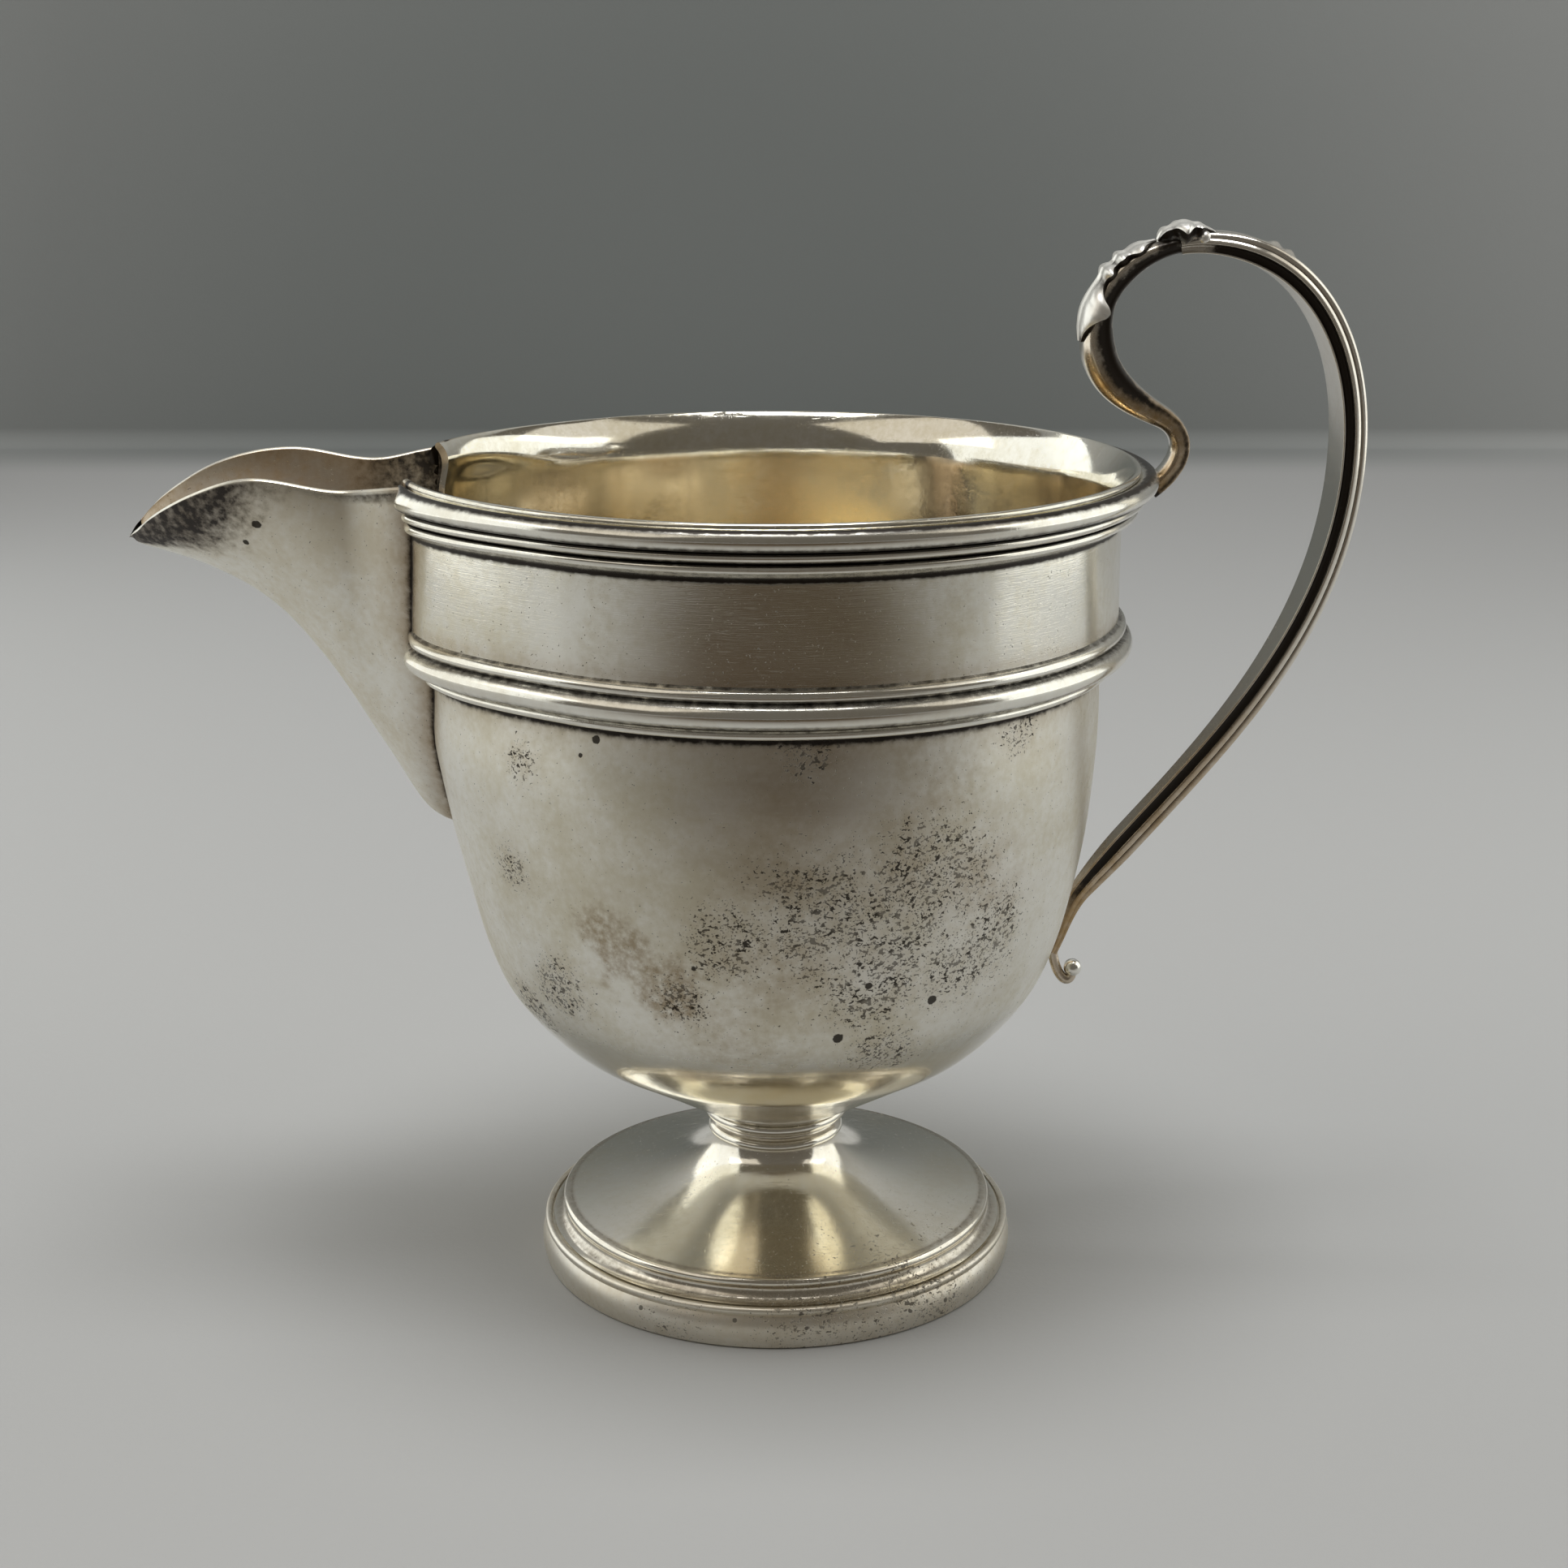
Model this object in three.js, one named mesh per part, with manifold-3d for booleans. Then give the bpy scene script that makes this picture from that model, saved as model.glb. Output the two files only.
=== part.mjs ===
// Silver cream jug in millimetres, +Z up: a raised bowl on a spun trumpet foot, with a folded sheet
// spout towards -X and a leaf-capped scroll handle towards +X. The pieces are soldered together, so
// each one sits on its neighbour across a thin solder gap and nothing moves.
import * as THREE from "three";
import { ParametricGeometry } from "three/addons/geometries/ParametricGeometry.js";
import { mergeVertices } from "three/addons/utils/BufferGeometryUtils.js";
import Module from "manifold-3d";

const wasm = await Module();
wasm.setup();

const { MathUtils, Vector2 } = THREE;
const degree = Math.PI / 180;

// Solder seats and facet counts
const solderGap = 0.2;
const facets = 36;

// Bowl: heights are above the table, radii are to the outside of the sheet
const rimHeight = 80.9;
const wallRadius = 32.9;
const wallStep = 1.6;
const bodySheet = 0.7;
const seatHeight = 15.6;
const seatRadius = 7.2;
const coneRise = 7.4;
const coneRadius = 19.4;
const coneEase = 0.22;
const shoulderRise = 15.4;
const shoulderInset = 4.7;
const shoulderSteepness = 2;
const shoulderEaseIn = 1.2;
const shoulderEaseOut = 1.8;
const wallEase = 13.4;
const girdleDrop = 16.5;
const girdleStepTop = 0.6;
const girdleStepFoot = 2.4;
const girdleStraight = 6;
const lipFlare = 1.6;
const lipHeight = 4.4;
const lipEdgeDrop = 0.4;

// The wall is drawn out a little where the spout joins it
const drawnReach = 2.4;
const drawnAtRim = 0.45;
const drawnInner = 20 * degree;
const drawnOuter = 55 * degree;
const drawnStart = 43;
const drawnFull = 11;

// Beads of the two reeded wires: how far each centre stands off the wall, its height and its radius
const rimBeads = [
  { out: 1.1, up: -3.95, radius: 0.45 },
  { out: 1.85, up: -3.0, radius: 0.42 },
  { out: 2.4, up: -1.15, radius: 0.95 },
];
const rimWireFoot = -4.9;
const rimWireTop = -0.5;
const girdleBeads = [
  { out: -0.7, up: -1.9, radius: 0.42 },
  { out: 0.25, up: -0.05, radius: 1.15 },
  { out: 0.15, up: 1.65, radius: 0.6 },
];
const girdleWireFoot = -2.7;
const girdleWireTop = 2.5;
const beadFrom = -62 * degree;
const beadTo = 78 * degree;

// Spout: reach out from the wall, drops below the rim, and lines as [share of the reach, drop]
const spoutSheet = 0.7;
const spoutReach = 29;
const spoutTipDrop = 7.4;
const spoutInside = 6;
const spoutHalfWidth = 10.2;
const spoutRootFlare = 2.6;
const spoutFlareRun = 6.8;
const spoutTaperStart = 0.45;
const spoutTaperPower = 0.75;
const spoutRoundness = 1.45;
const spoutTipFade = 2;
const spoutTipInset = 1.8;
const openingLedge = 0.7;
const keelLine = [
  [-spoutInside / spoutReach, 36.5], [0.025, 34.6], [0.172, 28.1], [0.345, 19.9], [0.517, 13.9],
  [0.724, 10.1], [1, spoutTipDrop],
];
const lipLine = [
  [-spoutInside / spoutReach, 0.2], [0.035, 0.6], [0.241, 1.3], [0.517, 0.2], [0.724, 1.5],
  [0.897, 4.3], [1, spoutTipDrop - 0.1],
];

// Neck collar and foot
const collarHeight = 3.0;
const collarBore = 4.0;
const collarCove = 6.0;
const collarBead = 0.6;
const collarStep = 0.2;
const neckRadius = 6.1;
const neckFlare = 0.8;
const bandRadius = 23.7;
const bandWidth = 1.8;
const bandHeight = 4.15;
const bandBead = 0.4;
const bandLedge = 0.9;
const bandDraft = 0.1;
const bandEdge = 0.25;
const domeInset = 2.4;
const domeRise = 1.6;
const domeBead = 0.5;
const domeSpread = 7;
const domeSwell = 2;
const neckSwell = 2.8;
const flangeSheet = 0.3;
const footSheet = 0.7;

// Handle: bends as [beyond the rim wire, above the rim] in the jug's middle plane
const scrollRoot = [-0.6, -2.6];
const scrollHook = [[3.1, 0.1], [2.8, 3.1], [-0.1, 4.5]];
const scrollWaist = [[-3.1, 6.1], [-6.1, 8.0], [-6.1, 12.2]];
const scrollHead = [[-6.1, 16.2], [-3.2, 19.4], [1.2, 20.3]];
const scrollWidth = 3.6;
const scrollThickness = 1.9;
const scrollSwell = [2.4, 1.4];
const scrollThinning = 0.6;
const handleReach = 18.15;
const strapStart = [1.4, 20.34];
const strapCrest = [[10.6, 21.6], [handleReach, 14.0], [handleReach, 1.5]];
const strapSweep = [handleReach, -18.5];
const strapApproach = 52.4 * degree;
const strapApproachLength = 14.3;
const strapContactDrop = 42.65;
const strapEndDrop = 49.3;
const strapWidth = 7.3;
const strapNarrowing = 0.63;
const strapThickness = 2.4;
const strapStandOff = 1.35;
const strapReed = 0.35;
const tailThickness = 1.1;
const tailWire = 0.5;
const tailBall = 0.9;
const tailDrop = 2.9;
const tailReach = 2.2;
const tailTurn = 0.9;

// Cast leaves
const leafThickness = 1.0;
const leafHalfWidth = 3.1;
const leafLobe = 0.14;
const leafSink = 0.4;
const leafRun = [0.6, 0.94];
const crestHalfWidth = 2.9;
const crestLobe = 0.12;
const crestStart = [-0.3, 20.9];
const crestBend = [[0.3, 22.2], [2.2, 22.4], [4.4, 21.7]];

const bowlRadius = wallRadius - wallStep;
const shoulderRadius = bowlRadius - shoulderInset;
const girdleHeight = rimHeight - girdleDrop;
const domeRadius = bandRadius - domeInset;
const domeHeight = bandHeight + domeRise;
const rimRadius = wallRadius + Math.max(...rimBeads.map((bead) => bead.out + bead.radius));

/** Joins shared corners and drops the triangles that collapse on the axis or at a closed end. */
function weld(geometry) {
  const bare = new THREE.BufferGeometry();
  bare.setAttribute("position", geometry.getAttribute("position"));
  bare.setIndex(geometry.getIndex());
  const merged = mergeVertices(bare, 1e-4);
  const corners = merged.getIndex().array;
  const kept = [];
  for (let i = 0; i < corners.length; i += 3) {
    const [a, b, c] = corners.slice(i, i + 3);
    if (a !== b && b !== c && c !== a) kept.push(a, b, c);
  }
  merged.setIndex(kept);
  return merged;
}

/** Turns a closed geometry into a solid that can be joined and cut. */
function solidOf(geometry) {
  const welded = weld(geometry);
  const vertProperties = Float32Array.from(welded.getAttribute("position").array);
  const triVerts = Uint32Array.from(welded.getIndex().array);
  return new wasm.Manifold(new wasm.Mesh({ numProp: 3, vertProperties, triVerts }));
}

/** Gives a solid back as a geometry. */
function geometryOf(solid) {
  const mesh = solid.getMesh();
  const geometry = new THREE.BufferGeometry();
  geometry.setAttribute("position", new THREE.BufferAttribute(mesh.vertProperties, 3));
  geometry.setIndex(new THREE.BufferAttribute(mesh.triVerts, 1));
  geometry.computeVertexNormals();
  return geometry;
}

/** Makes one named piece with its own silver. */
function piece(name, solid, colour, roughness) {
  const material = new THREE.MeshStandardMaterial({ color: colour, roughness, metalness: 1 });
  const mesh = new THREE.Mesh(geometryOf(solid), material);
  mesh.name = name;
  return mesh;
}

/** Turns a (radius, height) outline around the jug's axis. */
function turned(points) {
  return new THREE.LatheGeometry(points, facets).rotateX(Math.PI / 2);
}

/** Moves an outline sideways along its own normals, to the left of its direction. */
function offsetLine(points, distance) {
  return points.map((point, i) => {
    const before = points[Math.max(i - 1, 0)];
    const after = points[Math.min(i + 1, points.length - 1)];
    const into = point.clone().sub(i > 0 ? before : point).normalize();
    const out = after.clone().sub(i < points.length - 1 ? point : after).normalize();
    const along = into.add(out).normalize();
    return new Vector2(point.x - along.y * distance, point.y + along.x * distance);
  });
}

/** Points of a bead's arc, with angles from straight outwards. */
function beadArc(centre, radius, from, to, steps) {
  return Array.from({ length: steps + 1 }, (_, i) => {
    const angle = MathUtils.lerp(from, to, i / steps);
    return new Vector2(centre.x + radius * Math.cos(angle), centre.y + radius * Math.sin(angle));
  });
}

/** Height of a line of [along, height] points, read along a smooth curve through them. */
function readLine(line, along) {
  const last = line.length - 1;
  const next = MathUtils.clamp(line.findIndex(([x]) => x >= along), 1, last);
  const slope = (i) => {
    const [a, b] = [line[Math.max(i - 1, 0)], line[Math.min(i + 1, last)]];
    return (b[1] - a[1]) / (b[0] - a[0]);
  };
  const [[x0, y0], [x1, y1]] = [line[next - 1], line[next]];
  const span = x1 - x0;
  const t = (along - x0) / span;
  const rise = y0 * (1 - t) ** 2 * (1 + 2 * t) + y1 * t ** 2 * (3 - 2 * t);
  return rise + span * (slope(next - 1) * t * (1 - t) ** 2 - slope(next) * t ** 2 * (1 - t));
}

/** Closed skin through equal rings of points, with a flat fan over each end. */
function loft(rings) {
  const around = rings[0].length;
  const centre = (ring) => ring.reduce((sum, p) => sum.add(p), new THREE.Vector3()).divideScalar(around);
  const caps = [centre(rings[0]), centre(rings[rings.length - 1])];
  const rows = [Array(around).fill(caps[0]), ...rings, Array(around).fill(caps[1])];
  const pick = (u, v, target) => {
    const row = rows[Math.round(v * (rows.length - 1))];
    target.copy(row[Math.round(u * around) % around]);
  };
  return new ParametricGeometry(pick, around, rows.length - 1);
}

/** Draws the wall out towards the spout, growing from the bowl's waist to the rim. */
function drawOut(geometry) {
  const position = geometry.getAttribute("position");
  for (let i = 0; i < position.count; i += 1) {
    const [x, y, z] = [position.getX(i), position.getY(i), position.getZ(i)];
    const radius = Math.hypot(x, y);
    const side = 1 - MathUtils.smoothstep(Math.atan2(Math.abs(y), -x), drawnInner, drawnOuter);
    const rise = MathUtils.smoothstep(z, rimHeight - drawnStart, rimHeight - drawnFull);
    const eased = 1 - (1 - drawnAtRim) * MathUtils.smoothstep(z, rimHeight - lipHeight, rimHeight);
    const scale = radius > bowlRadius / 2 ? 1 + drawnReach * side * rise * eased / radius : 1;
    position.setXY(i, x * scale, y * scale);
  }
  return geometry;
}

// Outside line of the bowl, from the middle of its seat up to the lip
const coneTop = seatHeight + coneRise;
const shoulderHeight = seatHeight + shoulderRise;
const coneOut = coneEase * (coneRadius - seatRadius);
const bowlLine = new THREE.Path();
bowlLine.moveTo(0, seatHeight);
bowlLine.lineTo(seatRadius, seatHeight);
bowlLine.lineTo(coneRadius, coneTop);
bowlLine.bezierCurveTo(
  coneRadius + coneOut, coneTop + coneEase * coneRise,
  shoulderRadius - shoulderEaseIn, shoulderHeight - shoulderSteepness * shoulderEaseIn,
  shoulderRadius, shoulderHeight,
);
bowlLine.bezierCurveTo(
  shoulderRadius + shoulderEaseOut, shoulderHeight + shoulderSteepness * shoulderEaseOut,
  bowlRadius, girdleHeight - girdleStraight - wallEase,
  bowlRadius, girdleHeight - girdleStraight,
);
bowlLine.lineTo(bowlRadius, girdleHeight - girdleStepFoot);
bowlLine.lineTo(wallRadius, girdleHeight + girdleStepTop);
bowlLine.lineTo(wallRadius, rimHeight - lipHeight);
bowlLine.quadraticCurveTo(
  wallRadius, rimHeight - lipHeight / 2,
  wallRadius + lipFlare, rimHeight - lipEdgeDrop,
);
const bowlOutside = bowlLine.getPoints(5);

/** Outside radius of the bowl at a height. */
function bowlRadiusAt(height) {
  const top = Math.max(bowlOutside.findIndex((point) => point.y > height), 1);
  const [low, high] = [bowlOutside[top - 1], bowlOutside[top]];
  return MathUtils.mapLinear(height, low.y, high.y, low.x, high.x);
}

/** The bowl's outside as a full solid, grown by a clearance and carried on above the rim. */
function bowlForm(clearance) {
  const line = offsetLine(bowlOutside, -clearance);
  line[0].x = 0;
  const lip = line[line.length - 1];
  const above = new Vector2(lip.x, rimHeight + lipHeight);
  return solidOf(drawOut(turned([...line, above, new Vector2(0, above.y)])));
}

/** The bowl sheet before the pouring opening is cut. */
function bowlSheet() {
  const inside = offsetLine(bowlOutside, bodySheet);
  inside[0].x = 0;
  return solidOf(drawOut(turned([...bowlOutside, ...inside.reverse()])));
}

/** A reeded wire around the wall: beads outside, the wall's own line inside. */
function reededWire(beads, level, foot, top, grow) {
  const outside = beads.flatMap((bead) => {
    const centre = new Vector2(wallRadius + bead.out, level + bead.up);
    return beadArc(centre, bead.radius + grow, beadFrom, beadTo, 4);
  });
  const wall = bowlOutside.filter((point) => point.y > level + foot && point.y < level + top);
  const ends = [level + foot, level + top].map((height) => new Vector2(bowlRadiusAt(height), height));
  const seat = offsetLine([ends[0], ...wall, ends[1]], -solderGap);
  return solidOf(drawOut(turned([seat[0], ...outside, ...seat.reverse()])));
}

/** The spout's outer form as a full solid, inset all round and with its top carried up. */
function spoutForm(inset, lift) {
  const tip = 1 - spoutTipInset * inset / spoutReach;
  const root = -spoutInside / spoutReach;
  const stations = 18;
  const around = 13;
  const step = 0.01;
  const rings = [];
  for (let i = 0; i <= stations; i += 1) {
    const share = MathUtils.lerp(tip, root, (i / stations) ** 1.25);
    const taper = MathUtils.clamp((share - spoutTaperStart) / (tip - spoutTaperStart), 0, 1);
    const flare = spoutRootFlare * (1 - MathUtils.smoothstep(share * spoutReach, 0, spoutFlareRun));
    const half = (spoutHalfWidth + flare - inset) * (1 - taper ** 2) ** spoutTaperPower;
    const fall = readLine(keelLine, share + step) - readLine(keelLine, share - step);
    const slope = fall / (2 * step * spoutReach);
    const top = rimHeight - readLine(lipLine, share);
    const fullDepth = readLine(keelLine, share) - readLine(lipLine, share) - inset * Math.hypot(1, slope);
    const depth = Math.max(fullDepth, 0) * Math.min(1, half / spoutTipFade);
    const x = -(wallRadius + share * spoutReach);
    const ring = [new THREE.Vector3(x, half, top + lift), new THREE.Vector3(x, -half, top + lift)];
    for (let j = 0; j < around; j += 1) {
      const angle = Math.PI * (1 + j / (around - 1));
      const [c, s] = [Math.cos(angle), Math.sin(angle)];
      const y = half * Math.sign(c) * Math.abs(c) ** (2 / spoutRoundness);
      const z = top - depth * Math.abs(s) ** (2 / spoutRoundness);
      ring.push(new THREE.Vector3(x, y, z));
    }
    rings.push(ring);
  }
  return solidOf(loft(rings));
}

/** Curve through bends given beyond the rim wire and above the rim. */
function handleCurve(start, ...bends) {
  const place = ([out, up]) => new Vector2(rimRadius + out, rimHeight + up);
  const path = new THREE.CurvePath();
  let from = place(start);
  for (const bend of bends) {
    const [a, b, to] = bend.map(place);
    path.add(new THREE.CubicBezierCurve(from, a, b, to));
    from = to;
  }
  return path;
}

/** Bar along a curve in the middle plane; sectionAt gives its outline as [across, outwards] points. */
function bar(curve, from, to, stations, sectionAt, overrun = 0) {
  const rings = [];
  for (let i = 0; i <= stations; i += 1) {
    const t = MathUtils.lerp(from, to, i / stations);
    const along = curve.getTangentAt(t);
    const end = i === 0 ? -overrun : i === stations ? overrun : 0;
    const at = curve.getPointAt(t).addScaledVector(along, end);
    rings.push(sectionAt(t).map(([y, n]) => new THREE.Vector3(at.x - along.y * n, y, at.y + along.x * n)));
  }
  return solidOf(loft(rings));
}

/** Rounded outline of a bar. */
function roundSection(width, thickness, sides) {
  return Array.from({ length: sides }, (_, i) => {
    const angle = 2 * Math.PI * i / sides;
    const [c, s] = [Math.cos(angle), Math.sin(angle)];
    const y = width / 2 * Math.sign(c) * Math.abs(c) ** 0.75;
    return [y, thickness / 2 * Math.sign(s) * Math.abs(s) ** 0.75];
  });
}

/** Strap outline: flat inside, hollow edges, and a reed each side of a rib outside. */
function strapSection(width, thickness) {
  const [w, h] = [width / 2, thickness / 2];
  const cut = Math.min(strapReed, w / 4, h / 2);
  const half = [
    [w, -h], [w - cut, -0.2 * h], [w, 0.35 * h], [w - cut, h], [0.62 * w, h - cut], [0.42 * w, h],
  ];
  const mirrored = half.map(([y, n]) => [-y, n]).reverse();
  return [...half, ...mirrored];
}

/** Lobed leaf lying on the outer side of a bar. */
function leafSection(half, seat, crown) {
  const steps = 6;
  const top = Array.from({ length: steps + 1 }, (_, i) => {
    const across = 1 - 2 * i / steps;
    return [half * across, seat + crown * (0.35 + 0.65 * (1 - across ** 2))];
  });
  return [[-half, seat], [half, seat], ...top];
}

// Handle curves
const crestCurve = handleCurve(crestStart, crestBend);
const scrollCurve = handleCurve(scrollRoot, scrollHook, scrollWaist, scrollHead);
const onWall = (drop, off) => [bowlRadiusAt(rimHeight - drop) + solderGap + off - rimRadius, -drop];
const strapTouch = onWall(strapContactDrop, strapStandOff);
const alongApproach = (length) => [
  strapTouch[0] - length * Math.cos(strapApproach),
  strapTouch[1] - length * Math.sin(strapApproach),
];
const strapLow = onWall(MathUtils.lerp(strapEndDrop, strapContactDrop, 1 / 3), 0.7 * tailThickness);
const strapCurve = handleCurve(
  strapStart,
  strapCrest,
  [strapSweep, alongApproach(-strapApproachLength), strapTouch],
  [alongApproach(strapThickness), strapLow, onWall(strapEndDrop, tailThickness / 2)],
);

/** Width and thickness of the scroll along its length. */
function scrollSize(t) {
  const swell = MathUtils.smoothstep(t, 0.2, 0.5) - 0.75 * MathUtils.smoothstep(t, 0.55, 0.75);
  const thinning = scrollThinning * MathUtils.smoothstep(t, 0.8, 1);
  return [scrollWidth + scrollSwell[0] * swell, scrollThickness + scrollSwell[1] * swell - thinning];
}

/** Width and thickness of the strap along its length. */
function strapSize(t) {
  const narrow = strapNarrowing * MathUtils.smoothstep(t, 0.25, 0.8);
  const end = MathUtils.smoothstep(t, 0.84, 1);
  const width = MathUtils.lerp(strapWidth * (1 - narrow), tailThickness, end);
  return [width, MathUtils.lerp(strapThickness, tailThickness, end)];
}

/** The scroll between the rim wire and the strap, grown by a clearance. */
function scrollBar(grow) {
  return bar(scrollCurve, 0, 1, 30, (t) => {
    const [width, thickness] = scrollSize(t);
    return roundSection(width + 2 * grow, thickness + 2 * grow, 12);
  }, 2 * grow);
}

/** The reeded strap, grown by a clearance. */
function strapBar(grow) {
  return bar(strapCurve, 0, 1, 44, (t) => {
    const [width, thickness] = strapSize(t);
    return strapSection(width + 2 * grow, thickness + 2 * grow);
  }, 2 * grow);
}

/** Cast leaf over the scroll's shoulder, with lobed edges. */
function scrollLeaf() {
  const [from, to] = leafRun;
  return bar(scrollCurve, from, to, 24, (t) => {
    const run = MathUtils.mapLinear(t, from, to, 0, 1);
    const [, thickness] = scrollSize(t);
    const blade = Math.sin(Math.PI * (0.12 + 0.8 * run)) ** 0.6;
    const lobe = 1 + leafLobe * Math.cos(8 * Math.PI * run);
    return leafSection(leafHalfWidth * blade * lobe, thickness / 2 - leafSink, leafThickness * lobe);
  });
}

/** Cast leaf on the crest, curling up over the joint of the scroll and the strap. */
function crestLeaf() {
  return bar(crestCurve, 0, 1, 14, (t) => {
    const blade = Math.sin(Math.PI * (0.12 + 0.78 * t)) ** 0.6;
    const half = crestHalfWidth * blade * (1 + crestLobe * Math.cos(6 * Math.PI * t));
    return leafSection(half, -leafThickness / 2, leafThickness * (0.6 + 0.5 * blade));
  });
}

/** Curl below the strap, ending in a ball. */
function tailCurl() {
  const along = strapCurve.getTangentAt(1);
  const from = strapCurve.getPointAt(1).addScaledVector(along, solderGap);
  const end = new Vector2(from.x + tailReach, from.y - tailDrop + tailTurn + tailBall / 2);
  const low = new Vector2(from.x + tailWire, from.y - tailDrop);
  const turn = new Vector2(end.x, from.y - tailDrop - tailTurn);
  const curve = new THREE.CubicBezierCurve(from, low, turn, end);
  const wire = bar(curve, 0, 1, 12, () => roundSection(2 * tailWire, 2 * tailWire, 8));
  const ball = new THREE.SphereGeometry(tailBall, 12, 8).translate(end.x, 0, end.y);
  return wire.add(solidOf(ball));
}

/** Turned collar between the bowl and the foot: two beads with a cove between them. */
function neckCollar() {
  const top = seatHeight - solderGap;
  const foot = top - collarHeight;
  const upper = new Vector2(seatRadius - collarBead, top - collarBead);
  const lower = new Vector2(collarCove + collarStep, foot + collarBead);
  const outline = [
    new Vector2(collarBore, foot),
    ...beadArc(lower, collarBead, -Math.PI / 2, Math.PI / 3, 3),
    new Vector2(collarCove, foot + collarHeight / 2),
    ...beadArc(upper, collarBead, -Math.PI / 3, Math.PI / 2, 3),
    new Vector2(collarBore, top),
    new Vector2(collarBore, foot),
  ];
  return solidOf(turned(outline));
}

/** Spun trumpet foot with a beaded edge, a cove under it and a flange for the base band. */
function footDome() {
  const neckHeight = seatHeight - collarHeight - 2 * solderGap;
  const flange = bandHeight - bandBead + solderGap;
  const flangeRadius = bandRadius - bandLedge;
  const edge = new Vector2(domeRadius, domeHeight);
  const dome = new THREE.CubicBezierCurve(
    new Vector2(domeRadius, domeHeight + domeBead),
    new Vector2(domeRadius - domeSpread, domeHeight + domeSwell),
    new Vector2(neckRadius + neckFlare, domeHeight + neckSwell),
    new Vector2(neckRadius, neckHeight),
  ).getPoints(7);
  const outline = [
    new Vector2(domeRadius - footSheet, flange),
    new Vector2(flangeRadius, flange),
    new Vector2(flangeRadius, flange + flangeSheet),
    new Vector2(domeRadius + domeBead - solderGap / 2, domeHeight - domeRise / 2),
    ...beadArc(edge, domeBead, -Math.PI / 3, beadTo, 4),
    ...dome,
    ...offsetLine(dome, footSheet).reverse(),
    new Vector2(domeRadius - footSheet, flange),
  ];
  return solidOf(turned(outline));
}

/** Base band that the jug stands on, with a bead along its upper edge. */
function footBand() {
  const inner = bandRadius - bandWidth;
  const ledge = bandHeight - bandBead;
  const bead = new Vector2(bandRadius - bandBead, ledge);
  const outline = [
    new Vector2(inner, 0),
    new Vector2(bandRadius - bandEdge, 0),
    new Vector2(bandRadius, bandEdge),
    new Vector2(bandRadius - bandDraft, bandHeight - 2 * bandBead),
    ...beadArc(bead, bandBead, -Math.PI / 6, Math.PI * 0.72, 4),
    new Vector2(bandRadius - bandLedge + bandDraft, ledge),
    new Vector2(inner, ledge),
    new Vector2(inner, 0),
  ];
  return solidOf(turned(outline));
}

// Forms that the neighbours are cut to
const bodyFit = bowlForm(solderGap);
const spoutFit = spoutForm(-solderGap, lipHeight);
const rimWire = (grow) => reededWire(rimBeads, rimHeight, rimWireFoot, rimWireTop, grow);
const girdleWire = reededWire(girdleBeads, girdleHeight, girdleWireFoot, girdleWireTop, 0);
const opening = spoutForm(spoutSheet + openingLedge, lipHeight);
const channel = spoutForm(spoutSheet, lipHeight);
const scroll = scrollBar(0).subtract(rimWire(solderGap));
const strap = strapBar(0).subtract(bodyFit);

const jug = new THREE.Group();
jug.add(
  piece("bowl", bowlSheet().subtract(opening), 0xb7b2a4, 0.34),
  piece("rim_moulding", rimWire(0).subtract(spoutFit), 0xc9c5b8, 0.24),
  piece("girdle_moulding", girdleWire.subtract(spoutFit), 0xc9c5b8, 0.24),
  piece("pouring_spout", spoutForm(0, 0).subtract(channel).subtract(bodyFit), 0xb0aa9b, 0.36),
  piece("neck_collar", neckCollar(), 0xa9a292, 0.26),
  piece("foot_dome", footDome(), 0xb4ae9e, 0.24),
  piece("foot_band", footBand(), 0xb9b3a4, 0.3),
  piece("handle_scroll", scroll, 0x8d8271, 0.34),
  piece("handle_leaf", scrollLeaf().subtract(scrollBar(solderGap)), 0xc4c2b8, 0.3),
  piece("handle_strap", strap, 0x8f877a, 0.32),
  piece("crest_leaf", crestLeaf().subtract(strapBar(solderGap).add(scrollBar(solderGap))), 0xc4c2b8, 0.3),
  piece("handle_tail", tailCurl(), 0xa39b8c, 0.3),
);

// The origin stands on the table under the middle of the jug's overall length
const handleEdge = rimRadius + handleReach + strapThickness / 2;
jug.position.x = (wallRadius + spoutReach - handleEdge) / 2;

const creamer = new THREE.Group();
creamer.add(jug);
export default creamer;
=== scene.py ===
"""Looks of a footed silver cream jug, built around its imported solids.

Every piece is a numpy surface in millimetres about the jug's own axis, with the spout towards -X and the
handle towards +X. A piece becomes metres in the part's frame when its mesh is made.
"""

import logging
import math
from dataclasses import dataclass, field
from enum import Enum
from typing import Any, Sequence, Union

import bmesh
import bpy
import numpy as np
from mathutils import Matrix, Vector

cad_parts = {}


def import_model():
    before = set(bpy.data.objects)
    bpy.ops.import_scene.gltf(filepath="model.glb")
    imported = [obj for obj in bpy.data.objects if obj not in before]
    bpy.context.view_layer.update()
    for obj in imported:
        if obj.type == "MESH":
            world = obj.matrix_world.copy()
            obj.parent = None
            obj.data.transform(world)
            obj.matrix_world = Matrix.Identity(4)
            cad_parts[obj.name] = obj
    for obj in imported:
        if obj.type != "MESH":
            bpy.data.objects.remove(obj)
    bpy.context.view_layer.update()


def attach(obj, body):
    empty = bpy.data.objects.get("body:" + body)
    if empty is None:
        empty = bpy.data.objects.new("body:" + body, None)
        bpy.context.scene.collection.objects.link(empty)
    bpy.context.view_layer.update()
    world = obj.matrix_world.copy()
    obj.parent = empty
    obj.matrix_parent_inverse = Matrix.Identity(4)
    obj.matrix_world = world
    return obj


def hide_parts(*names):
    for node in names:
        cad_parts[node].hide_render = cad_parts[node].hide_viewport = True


LOG = logging.getLogger("cream_jug")
MM = 0.001
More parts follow.
